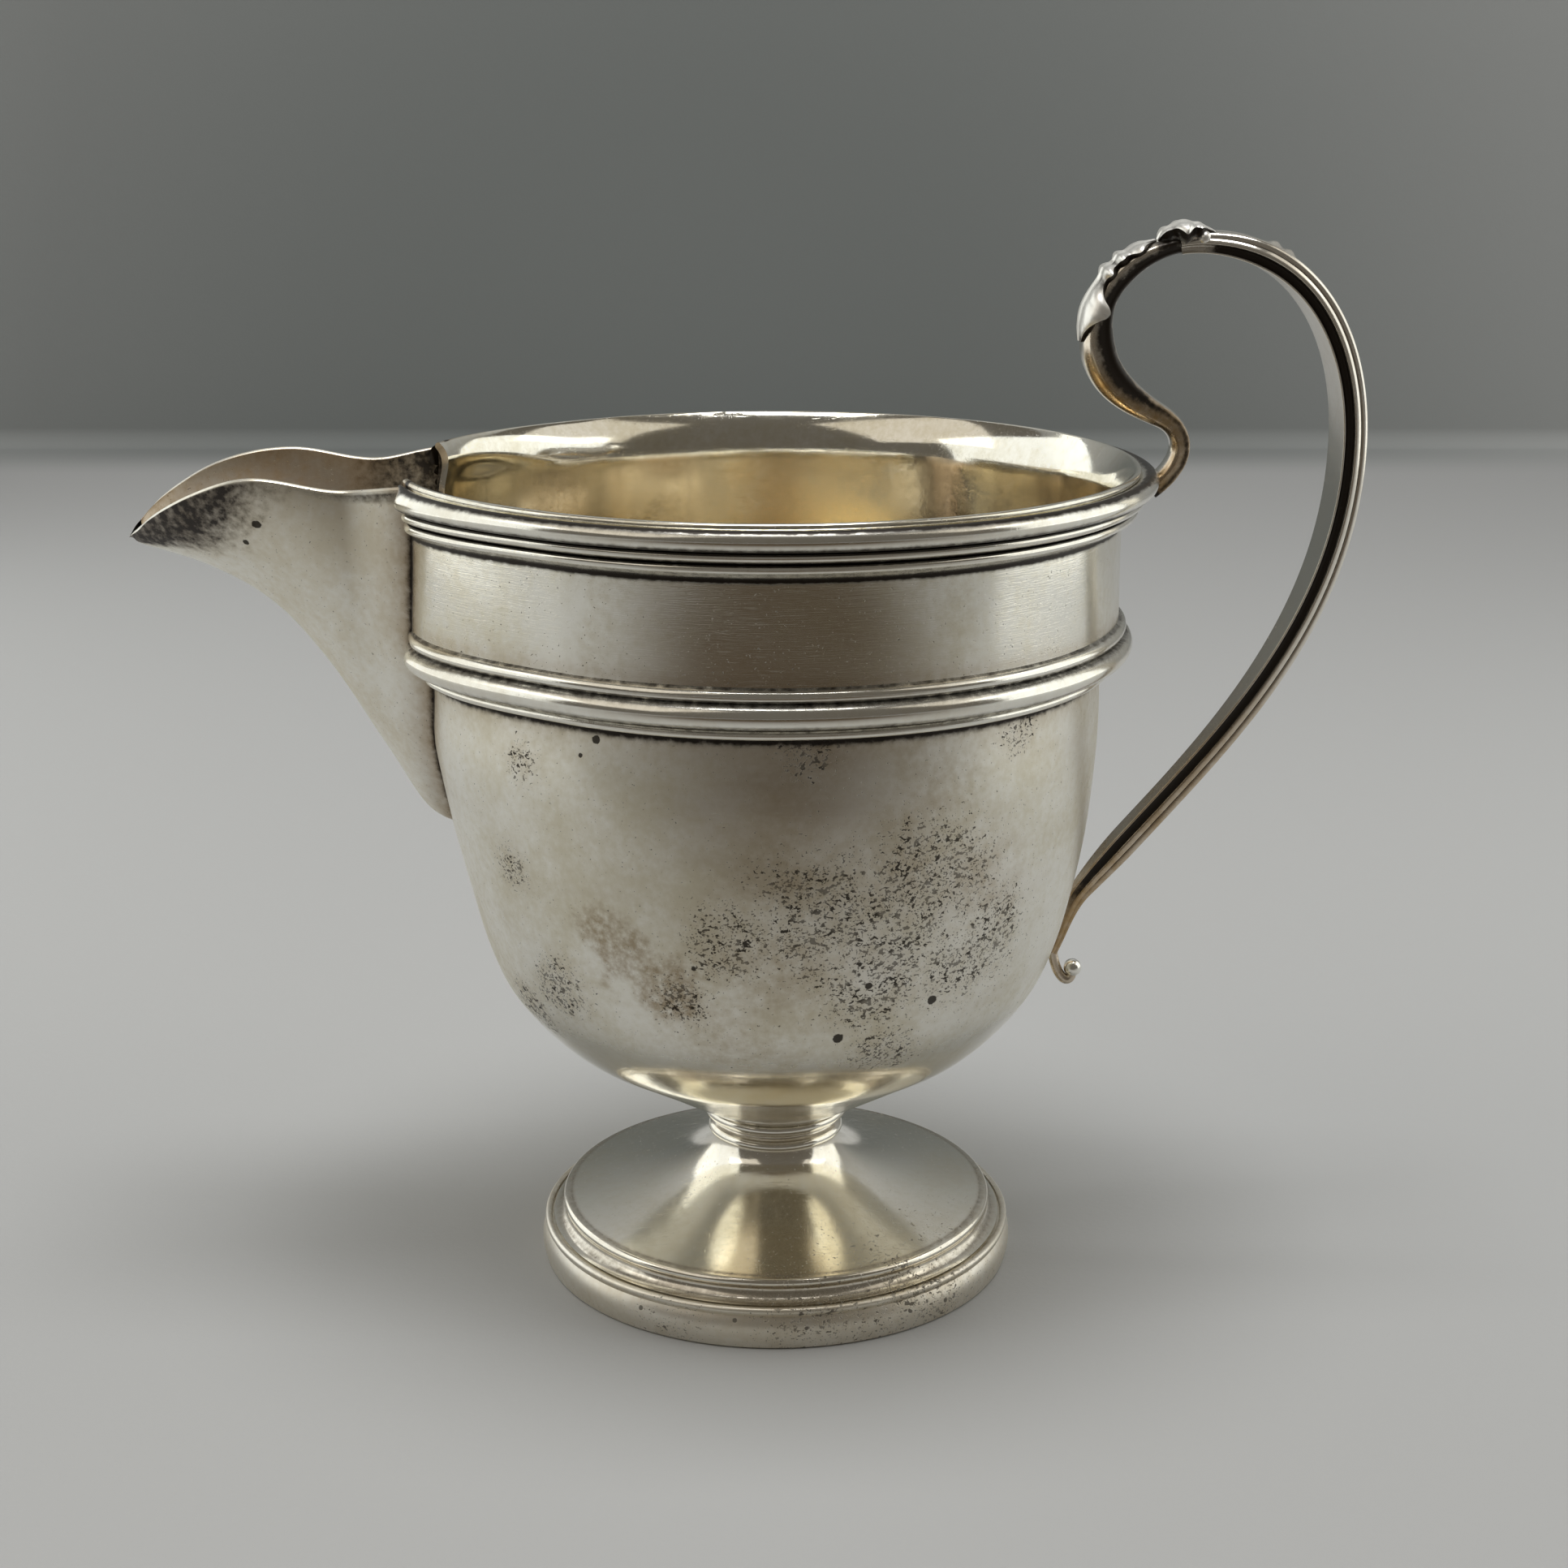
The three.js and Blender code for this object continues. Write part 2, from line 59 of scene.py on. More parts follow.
BODY = "root"
JUG_AXIS_X = 3.15
WELD_M = 2e-7
CREASE = math.radians(38)

Array = np.ndarray
Pair = tuple[float, float]
Triple = tuple[float, float, float]
Quad = tuple[float, float, float, float]
Spot = tuple[Triple, float]
Material = bpy.types.Material


class Slot(Enum):
    """Material slots of the part."""

    SATIN = "silver_satin"
    BRIGHT = "silver_bright"
    AGED = "silver_aged"


class Mark(Enum):
    """Values that a piece's points carry for its finish and its painted shade."""

    # Tarnish in seams, and painted shade in grooves, hollows, under lips and under leaves.
    GRIME_AND_SHADE = "grime_and_shade"
    FILM = "film"
    STAIN = "stain"
    GILT = "gilt"
    WORN = "worn"


# Curves and outlines


def smoothstep(value: Any, low: float, high: float) -> Array:
    """Eases from 0 at low to 1 at high as 3t^2 - 2t^3."""
    t = np.clip((np.asarray(value, float) - low) / (high - low), 0.0, 1.0)
    return t * t * (3.0 - 2.0 * t)


def plateau(value: Any, low: float, full: float, high: float, top: float) -> Array:
    """Eases up from low to full and down again from high to top."""
    return smoothstep(value, low, full) * (1.0 - smoothstep(value, high, top))


def hump(value: Any, at: float, reach: float) -> Array:
    """Bell e^-((value - at) / reach)^2."""
    return np.exp(-(((value - at) / reach) ** 2))


def fade(gap: Any, reach: float) -> Array:
    """Falls off from 1 as e^-(|gap| / reach)."""
    return np.exp(-np.abs(gap) / reach)


def signed_power(value: Array, power: float) -> Array:
    """Power of the size of a value, with the value's own sign."""
    return np.sign(value) * np.abs(value) ** power


def lengths(line: Array) -> Array:
    """Length along a line from its start to each point."""
    return np.concatenate([[0.0], np.cumsum(np.linalg.norm(np.diff(line, axis=0), axis=1))])


def circle(count: int) -> Array:
    """Angles at equal steps around a circle."""
    return np.linspace(0.0, 2.0 * np.pi, count, endpoint=False)


def bezier(points: Sequence[Pair], count: int) -> Array:
    """Bezier curve as the Bernstein sum of its control points.

    Args:
        points: Control points.
        count: Number of points along the curve.

    Returns:
        Points, shape (count, 2).
    """
    control = np.asarray(points, float)
    degree = len(control) - 1
    order = np.arange(degree + 1)
    ways = np.array([math.comb(degree, int(i)) for i in order])
    t = np.linspace(0.0, 1.0, count)[:, None]
    return (ways * t**order * (1.0 - t) ** (degree - order)) @ control


def arc(centre: Pair, radius: float, start: float, end: float, count: int) -> Array:
    """Circular arc from angle start to angle end, in degrees from the first axis."""
    angle = np.radians(np.linspace(start, end, count))
    return np.stack([centre[0] + radius * np.cos(angle), centre[1] + radius * np.sin(angle)], axis=1)


def chain(*lines: Array) -> Array:
    """Joins lines end to end, leaving out points that repeat.

    Args:
        lines: The lines in order.

    Returns:
        Points of the whole line.
    """
    points = np.concatenate([np.asarray(line, float) for line in lines])
    keep = np.ones(len(points), bool)
    keep[1:] = np.linalg.norm(np.diff(points, axis=0), axis=1) > 1e-6
    return points[keep]


def resample(points: Array, count: int) -> Array:
    """Places points at equal steps of length along a line.

    Args:
        points: Points of the line.
        count: Number of new points.

    Returns:
        The new points.
    """
    run = lengths(points)
    at = np.linspace(0.0, run[-1], count)
    return np.stack([np.interp(at, run, points[:, 0]), np.interp(at, run, points[:, 1])], axis=1)


def offset(line: Array, distance: float) -> Array:
    """Moves a line along its left normals by a distance.

    Args:
        line: Points of the line.
        distance: How far it moves, in millimetres.

    Returns:
        The moved points.
    """
    step = np.diff(line, axis=0)
    unit = step / np.linalg.norm(step, axis=1)[:, None]
    along = np.vstack([unit[:1], unit]) + np.vstack([unit, unit[-1:]])
    along /= np.linalg.norm(along, axis=1)[:, None]
    return line + distance * np.stack([-along[:, 1], along[:, 0]], axis=1)


def through(line: Sequence[Pair], at: Any) -> Array:
    """Reads a smooth curve through points: cubic Hermite pieces with slopes from the neighbours.

    Args:
        line: Points as (place, value), with places rising.
        at: Places to read.

    Returns:
        Values at those places.
    """
    x, y = np.asarray(line, float).T
    after = np.minimum(np.arange(len(x)) + 1, len(x) - 1)
    before = np.maximum(np.arange(len(x)) - 1, 0)
    slope = (y[after] - y[before]) / (x[after] - x[before])
    high = np.clip(np.searchsorted(x, at), 1, len(x) - 1)
    low = high - 1
    span = x[high] - x[low]
    t = (at - x[low]) / span
    rise = y[low] * (1 - t) ** 2 * (1 + 2 * t) + y[high] * t**2 * (3 - 2 * t)
    return rise + span * (slope[low] * t * (1 - t) ** 2 - slope[high] * t**2 * (1 - t))


def hollow_of(line: Array, reach: float, depth: float) -> Array:
    """How deep each point of an outline lies under its neighbours.

    The highest first coordinate within a reach along the line, less the point's own, over a full depth.

    Args:
        line: Outline as (outwards, height) points.
        reach: Half width of the neighbourhood in millimetres.
        depth: Depth that counts as fully hollow.

    Returns:
        Values from 0 to 1.
    """
    run = lengths(line)
    near = np.abs(run[:, None] - run[None, :]) <= reach
    cover = np.where(near, line[None, :, 0], -np.inf).max(axis=1)
    return np.clip((cover - line[:, 0]) / depth, 0.0, 1.0)


# Skins and meshes


@dataclass
class Skin:
    """A closed surface: points in millimetres, faces and values at the points."""

    points: Array
    faces: list[list[int]]
    marks: dict[Mark, Array] = field(default_factory=dict)


def quads(rows: int, columns: int, wrap_rows: bool = False, wrap_columns: bool = False) -> Array:
    """Faces of a grid of points numbered row by row.

    Args:
        rows: Number of rows.
        columns: Number of columns.
        wrap_rows: Joins the last row to the first.
        wrap_columns: Joins the last column to the first.

    Returns:
        Corner numbers, shape (faces, 4).
    """
    i, j = np.meshgrid(np.arange(rows if wrap_rows else rows - 1),
                       np.arange(columns if wrap_columns else columns - 1), indexing="ij")
    a = i * columns + j
    b = i * columns + (j + 1) % columns
    c = (i + 1) % rows * columns + (j + 1) % columns
    d = (i + 1) % rows * columns + j
    return np.stack([a, b, c, d], axis=-1).reshape(-1, 4)


def turned(radius: Array, angle: Array, height: Array) -> Array:
    """Points at radii, angles and heights about the jug's axis."""
    x, y = radius * np.cos(angle), radius * np.sin(angle)
    return np.stack(np.broadcast_arrays(x, y, height), axis=-1)


def lathe(outline: Array, count: int = 256, waves: float = 0.0) -> Skin:
    """Turns a closed (radius, height) outline around the jug's axis.

    Point (u, v) is (r cos u, r sin u, z), where r has a few slow waves of the hand added to it.

    Args:
        outline: Closed outline, without its first point repeated.
        count: Number of steps around.
        waves: Height of the waves in millimetres.

    Returns:
        The turned skin.
    """
    angle = circle(count)[None, :]
    radius, height = outline[:, :1], outline[:, 1:]
    radius = radius + waves * np.sin(3 * angle + 0.3 * height) * np.sin(2 * angle + 1.0)
    faces = quads(len(outline), count, wrap_rows=True, wrap_columns=True)
    return Skin(turned(radius, angle, height).reshape(-1, 3), faces.tolist())


def sweep(path: Array, sections: Array) -> Skin:
    """Carries a closed section along a path in the middle plane.

    Point (u, v) is path(u) + n(u, v) * normal(u), moved y(u, v) across the plane.

    Args:
        path: Places as (x, z), shape (stations, 2).
        sections: Section points as (across, outwards), shape (stations, around, 2).

    Returns:
        The swept skin, closed with a face at each end.
    """
    along = np.gradient(path, axis=0)
    along /= np.linalg.norm(along, axis=1)[:, None]
    across, out = sections[..., 0], sections[..., 1]
    x = path[:, :1] - along[:, 1:] * out
    z = path[:, 1:] + along[:, :1] * out
    points = np.stack([x, across, z], axis=-1)
    stations, around = across.shape
    faces = quads(stations, around, wrap_columns=True).tolist()
    faces.append(list(range(around)))
    faces.append(list(range((stations - 1) * around, stations * around)))
    return Skin(points.reshape(-1, 3), faces)


def ball(centre: Triple, radius: float, rows: int = 25, columns: int = 40) -> Skin:
    """Sphere about a centre, as rings of latitude.

    Args:
        centre: Centre in millimetres.
        radius: Radius in millimetres.
        rows: Rings from pole to pole.
        columns: Steps around.

    Returns:
        The skin.
    """
    tilt = np.linspace(-np.pi / 2, np.pi / 2, rows)[:, None]
    points = turned(np.cos(tilt), circle(columns)[None, :], np.sin(tilt))
    points = np.asarray(centre) + radius * points
    return Skin(points.reshape(-1, 3), quads(rows, columns, wrap_columns=True).tolist())


def join(*skins: Skin) -> Skin:
    """Puts several skins into one.

    Args:
        skins: The skins, in the order of their points.

    Returns:
        One skin, with 0 where a skin lacks a mark.
    """
    start = np.cumsum([0] + [len(skin.points) for skin in skins])
    faces = [[int(k + s) for k in face] for skin, s in zip(skins, start) for face in skin.faces]
    marks = {
        mark: np.concatenate([skin.marks.get(mark, np.zeros(len(skin.points))) for skin in skins])
        for mark in Mark
    }
    return Skin(np.concatenate([skin.points for skin in skins]), faces, marks)


def add_object(name: str, data: bpy.types.ID) -> bpy.types.Object:
    """Puts an object with some data into the scene.

    Args:
        name: Name of the object.
        data: Its mesh, lamp or camera.

    Returns:
        The new object, at the origin.
    """
    made = bpy.data.objects.new(name, data)
    bpy.context.scene.collection.objects.link(made)
    return made


def make_piece(node: str, skin: Skin, material: Material) -> None:
    """Makes the mesh of a piece, lets it stand for its CAD node and ride on the body.

    Args:
        node: Name of the CAD node.
        skin: The piece's surface.
        material: Its finish.
    """
    mesh = bpy.data.meshes.new(f"{node}_skin")
    places = (skin.points + np.array([JUG_AXIS_X, 0.0, 0.0])) * MM
    mesh.from_pydata(places.tolist(), [], skin.faces)
    for mark, values in skin.marks.items():
        layer = mesh.attributes.new(mark.value, "FLOAT", "POINT")
        layer.data.foreach_set("value", values.astype(np.float32))
    shell = bmesh.new()
    shell.from_mesh(mesh)
    bmesh.ops.remove_doubles(shell, verts=shell.verts, dist=WELD_M)
    bmesh.ops.recalc_face_normals(shell, faces=shell.faces)
    shell.to_mesh(mesh)
    shell.free()
    mesh.shade_smooth()
    mesh.set_sharp_from_angle(angle=CREASE)
    mesh.materials.append(material)
    piece = add_object(f"{node}_look", mesh)
    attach(piece, BODY)
    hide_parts(node)
    LOG.info("%s: %d faces", piece.name, len(mesh.polygons))


# Shader maths


Number = Union["Value", float]


class Value:
    """A shader socket that can be used in sums: each operator adds one Math node."""

    def __init__(self, shader: "Shader", socket: bpy.types.NodeSocket) -> None:
        """Keeps the shader and the output socket."""
        self.shader = shader
        self.socket = socket

    def _math(self, operation: str, first: Number, second: Number = 0.0) -> "Value":
        """Adds a Math node with two inputs."""
        return self.shader.node("ShaderNodeMath", {"operation": operation}, {0: first, 1: second})

    def __add__(self, other: Number) -> "Value":
        """self + other."""
        return self._math("ADD", self, other)

    __radd__ = __add__

    def __sub__(self, other: Number) -> "Value":
        """self - other."""
        return self._math("SUBTRACT", self, other)

    def __rsub__(self, other: Number) -> "Value":
        """other - self."""
        return self._math("SUBTRACT", other, self)

    def __mul__(self, other: Number) -> "Value":
        """self * other."""
        return self._math("MULTIPLY", self, other)

    __rmul__ = __mul__

    def most(self, other: Number) -> "Value":
        """The larger of two values."""
        return self._math("MAXIMUM", self, other)

    def clamp(self) -> "Value":
        """The value kept between 0 and 1."""
        return self.shader.node("ShaderNodeClamp", {}, {"Value": self, "Min": 0.0, "Max": 1.0})

    def ease(self, low: float, high: float) -> "Value":
        """Smooth step from 0 at low to 1 at high."""
        sockets = {"Value": self, "From Min": low, "From Max": high, "To Min": 0.0, "To Max": 1.0}
        return self.shader.node("ShaderNodeMapRange", {"interpolation_type": "SMOOTHSTEP"}, sockets)


class Shader:
    """A node tree that is written as expressions."""

    def __init__(self, tree: bpy.types.NodeTree) -> None:
        """Empties the tree."""
        self.tree = tree
        tree.nodes.clear()

    def node(self, kind: str, settings: dict[str, Any], sockets: dict[Any, Any], output: Any = 0) -> Value:
        """Adds any node.

        Args:
            kind: The node's type.
            settings: Properties that are set first.
            sockets: Values or links by socket name or number.
            output: Name or number of the output socket.

        Returns:
            The output as a value.
        """
        made = self.tree.nodes.new(kind)
        for name, setting in settings.items():
            setattr(made, name, setting)
        for key, given in sockets.items():
            if isinstance(given, Value):
                self.tree.links.new(given.socket, made.inputs[key])
            else:
                made.inputs[key].default_value = given
        return Value(self, made.outputs[output] if len(made.outputs) else None)

    def place(self) -> Value:
        """Object coordinates."""
        return self.node("ShaderNodeTexCoord", {}, {}, "Object")

    def mark(self, mark: Mark) -> Value:
        """A value that the piece's points carry."""
        return self.node("ShaderNodeAttribute", {"attribute_name": mark.value}, {}, "Fac")

    def noise(self, place: Value, size: float, detail: float, rough: float, warp: float = 0.0) -> Value:
        """Noise on some coordinates.

        Args:
            place: Coordinates.
            size: Width of its features in millimetres.
            detail: Number of finer layers.
            rough: Share of each finer layer.
            warp: How far it is distorted.

        Returns:
            Values about 0.5.
        """
        sockets = {"Vector": place, "Scale": 1.0 / (size * MM), "Detail": detail}
        sockets |= {"Roughness": rough, "Distortion": warp}
        return self.node("ShaderNodeTexNoise", {}, sockets, 0)

    def stretched(self, place: Value, scale: Triple, turn: Triple = (0.0, 0.0, 0.0)) -> Value:
        """Coordinates that are turned and stretched."""
        return self.node("ShaderNodeMapping", {}, {"Vector": place, "Rotation": turn, "Scale": scale})

    def distance(self, place: Value, centre: Triple) -> Value:
        """Distance from a centre in metres."""
        return self.node("ShaderNodeVectorMath", {"operation": "DISTANCE"}, {0: place, 1: centre}, "Value")

    def near(self, place: Value, centre: Triple, reach: float) -> Value:
        """1 at a place in the jug's frame, falling to 0 at a reach in millimetres."""
        spot = ((centre[0] + JUG_AXIS_X) * MM, centre[1] * MM, centre[2] * MM)
        return self.distance(place, spot).ease(reach * MM, 0.0)

    def nearest(self, place: Value, spots: Sequence[Spot]) -> Number:
        """Largest of the soft spots at some places.

        Args:
            place: Coordinates.
            spots: Centres with their reach.

        Returns:
            The value, or 0 where there are no spots.
        """
        total: Number = 0.0
        for centre, reach in spots:
            spot = self.near(place, centre, reach)
            total = spot if isinstance(total, float) else total.most(spot)
        return total

    def blend(self, factor: Number, first: Any, second: Any) -> Value:
        """Mixes two colours."""
        return self.node("ShaderNodeMix", {"data_type": "RGBA"}, {0: factor, 6: first, 7: second}, 2)

    def bump(self, height: Value, strength: float, depth: float) -> Value:
        """Normals of a relief whose full height is a depth in metres."""
        sockets = {"Strength": strength, "Distance": depth, "Height": height}
        return self.node("ShaderNodeBump", {}, sockets, "Normal")

    def surface(self, sockets: dict[str, Any]) -> None:
        """Ends the tree in a Principled surface."""
        shader = self.node("ShaderNodeBsdfPrincipled", {}, sockets, "BSDF")
        self.node("ShaderNodeOutputMaterial", {}, {"Surface": shader})


def rgba(colour: Triple) -> Quad:
    """A colour with full alpha."""
    return (*colour, 1.0)


def new_material(name: str) -> tuple[Material, Shader]:
    """Makes an empty material.

    Args:
        name: Name of the material.

    Returns:
        The material and the shader that fills it.
    """
    made = bpy.data.materials.new(name)
    made.use_nodes = True
    return made, Shader(made.node_tree)


@dataclass(frozen=True)
class Wear:
    """Places of wear on a piece, as centres in the jug's frame with a reach in millimetres."""

    pitted: tuple[Spot, ...] = ()
    smoked: tuple[Spot, ...] = ()
    patched: tuple[Spot, ...] = ()
    spotted: tuple[Spot, ...] = ()


@dataclass(frozen=True)
class Silver:
    """A silver finish: clean metal, warm patina, pits, scratches, dark tarnish and painted shade."""

    name: str
    colour: Triple = (0.91, 0.893, 0.82)
    patina_colour: Triple = (0.63, 0.55, 0.4)
    stain_colour: Triple = (0.36, 0.26, 0.15)
    film_colour: Triple = (0.07, 0.062, 0.057)
    # Near-black colour for tarnish and for painted shade.
    grime_and_shade_colour: Triple = (0.018, 0.012, 0.007)
    gilt_colour: Triple = (0.97, 0.875, 0.67)
    roughness: float = 0.2
    satin: float = 0.1
    gilt_roughness: float = 0.13
    unevenness: float = 0.08
    patina: float = 0.35
    smoke: float = 0.0
    pits: float = 0.0
    scratches: float = 0.5
    ripple: float = 0.0
    turning: float = 0.0
    wear: Wear = Wear()
    broad_size: float = 24.0
    cloud_size: float = 6.0
    fine_size: float = 0.8
    relief: float = 0.5
    relief_depth: float = 0.00006

    def material(self) -> Material:
        """Builds the finish from noise on object coordinates and the piece's marks.

        Returns:
            The material.
        """
        made, s = new_material(self.name)
        place = s.place()
        broad = s.noise(place, self.broad_size, 4.0, 0.6, 0.4)
        cloud = s.noise(place, self.cloud_size, 4.0, 0.6)
        fine = s.noise(place, self.fine_size, 3.0, 0.6)
        worn = s.mark(Mark.WORN)
        filmed = s.mark(Mark.FILM)
        mottle = cloud * 0.6 + fine * 0.4
        patina = (broad * 0.45 + cloud * 0.3 + fine * 0.25).ease(0.38, 0.66) * self.patina
        smoke = self._smoke(s, place, cloud, fine) * worn * self.smoke
        blotch = (s.nearest(place, self.wear.patched) + 1.8 * cloud).ease(1.2, 1.6)
        patch = blotch * (2.6 * fine - 0.7).clamp() * worn
        pits, dust = self._pits(s, place, cloud, fine, worn)
        # Tarnish and painted shade, darkest where the piece's points carry the mark.
        grime_and_shade = (s.mark(Mark.GRIME_AND_SHADE) * (0.35 + 1.3 * fine)).ease(0.12, 0.75)
        film = (filmed + 1.1 * (mottle - 0.5)).ease(0.1, 0.8) * filmed.ease(0.0, 0.15)
        stain = (s.mark(Mark.STAIN) * (0.2 + 1.6 * mottle)).clamp()
        gilt = (s.mark(Mark.GILT) * (0.5 * broad + 0.5 * cloud).ease(0.3, 0.52)).clamp()
        layers = (
            (patina, self.patina_colour),
            (gilt, self.gilt_colour),
            (smoke, self.stain_colour),
            (patch * 0.65, self.stain_colour),
            (dust * 0.18, self.stain_colour),
            (stain, self.stain_colour),
            ((film * (0.1 + 1.6 * fine)).clamp(), self.film_colour),
            (pits * 0.9, self.grime_and_shade_colour),
            (grime_and_shade, self.grime_and_shade_colour),
        )
        colour: Any = rgba(self.colour)
        for share, tint in layers:
            colour = s.blend(share, colour, rgba(tint))

        scratch = self._scratches(s, place)
        rough = self.roughness + self.satin * worn + self.unevenness * (cloud + fine - 1.0)
        rough = rough + 0.08 * patina + 0.12 * film + 0.3 * pits + 0.2 * grime_and_shade
        rough = rough + 0.12 * patch + 0.1 * stain + 0.04 * scratch
        rough = (rough + gilt * (self.gilt_roughness - self.roughness)).clamp()
        upright = s.noise(s.stretched(place, (1.0, 1.0, 0.12)), 3.5, 2.0, 0.5)
        level = s.noise(s.stretched(place, (0.04, 0.04, 1.0)), 0.11, 2.0, 0.6)
        height = fine * 0.06 + cloud * 0.15 - pits * 0.8 - scratch * (0.12 * self.scratches)
        height = height + upright * gilt * self.ripple
        height = height + level * worn.ease(0.0, 0.3) * (1.15 - 0.6 * worn) * self.turning
        metal = 1.0 - (grime_and_shade * 0.5 + pits * 0.35).clamp()
        bump = s.bump(height, self.relief, self.relief_depth)
        s.surface({"Base Color": colour, "Roughness": rough, "Metallic": metal, "Normal": bump})
        return made

    def _smoke(self, s: Shader, place: Value, cloud: Value, fine: Value) -> Value:
        """Smoky tarnish: level streaks of stretched noise, thicker near the smoked places.

        Args:
            s: The shader.
            place: Object coordinates.
            cloud: Noise that breaks the smoke up.
            fine: Noise that gives it a grain.

        Returns:
            1 in thick smoke and 0 on clean metal.
        """
        streak = s.noise(s.stretched(place, (0.3, 0.3, 1.0), (0.1, 0.0, 0.0)), 4.0, 4.0, 0.6)
        thick = (0.35 * streak + 0.35 * cloud + 0.3 * fine).ease(0.33, 0.67)
        thin = 0.25 * streak.ease(0.45, 0.75)
        return (thin + s.nearest(place, self.wear.smoked) * thick).clamp()

    def _pits(self, s: Shader, place: Value, cloud: Value, fine: Value, worn: Value) -> tuple[Number, Number]:
        """Corrosion: crumbs where a fine noise rises above a level that is lower near the pitted places.

        Args:
            s: The shader.
            place: Object coordinates.
            cloud: Noise that breaks the density up.
            fine: Noise that makes the large spots uneven.
            worn: 1 on worn metal.

        Returns:
            1 in a pit and 0 on clean metal, and the dull wash that lies around the pits.
        """
        if self.pits <= 0.0:
            return 0.0, 0.0
        thick = (s.nearest(place, self.wear.pitted) * (4.0 * cloud - 0.6)).clamp()
        slant = s.stretched(place, (0.75, 0.75, 1.0), (0.0, 0.4, 0.0))
        crumbs = (s.noise(slant, 0.38, 2.0, 0.6, 0.3) + 0.2 * thick - 0.74).ease(0.0, 0.04)
        dots = (s.noise(place, 0.21, 1.0, 0.5) + 0.12 * thick - 0.72).ease(0.0, 0.06)
        shade = 0.65 + 0.35 * s.noise(place, 1.7, 2.0, 0.5).ease(0.42, 0.6)
        deep = (s.nearest(place, self.wear.spotted) + 0.8 * fine).ease(0.85, 1.0)
        pits = (crumbs * shade).most(dots * 0.7).most(deep) * worn.ease(0.02, 0.12) * self.pits
        return pits.clamp(), thick * worn * (0.5 + fine)

    def _scratches(self, s: Shader, place: Value) -> Value:
        """Fine polishing scratches in two directions, from stretched noise.

        Args:
            s: The shader.
            place: Object coordinates.

        Returns:
            1 in a scratch and 0 beside it.
        """
        first = s.noise(s.stretched(place, (0.06, 1.0, 1.0), (0.3, 0.9, 0.2)), 0.22, 2.0, 0.5)
        second = s.noise(s.stretched(place, (1.0, 0.05, 1.0), (1.1, 0.2, 1.3)), 0.2, 2.0, 0.5)
        return first.ease(0.62, 0.72).most(second.ease(0.64, 0.74))


# Forms that the pieces share


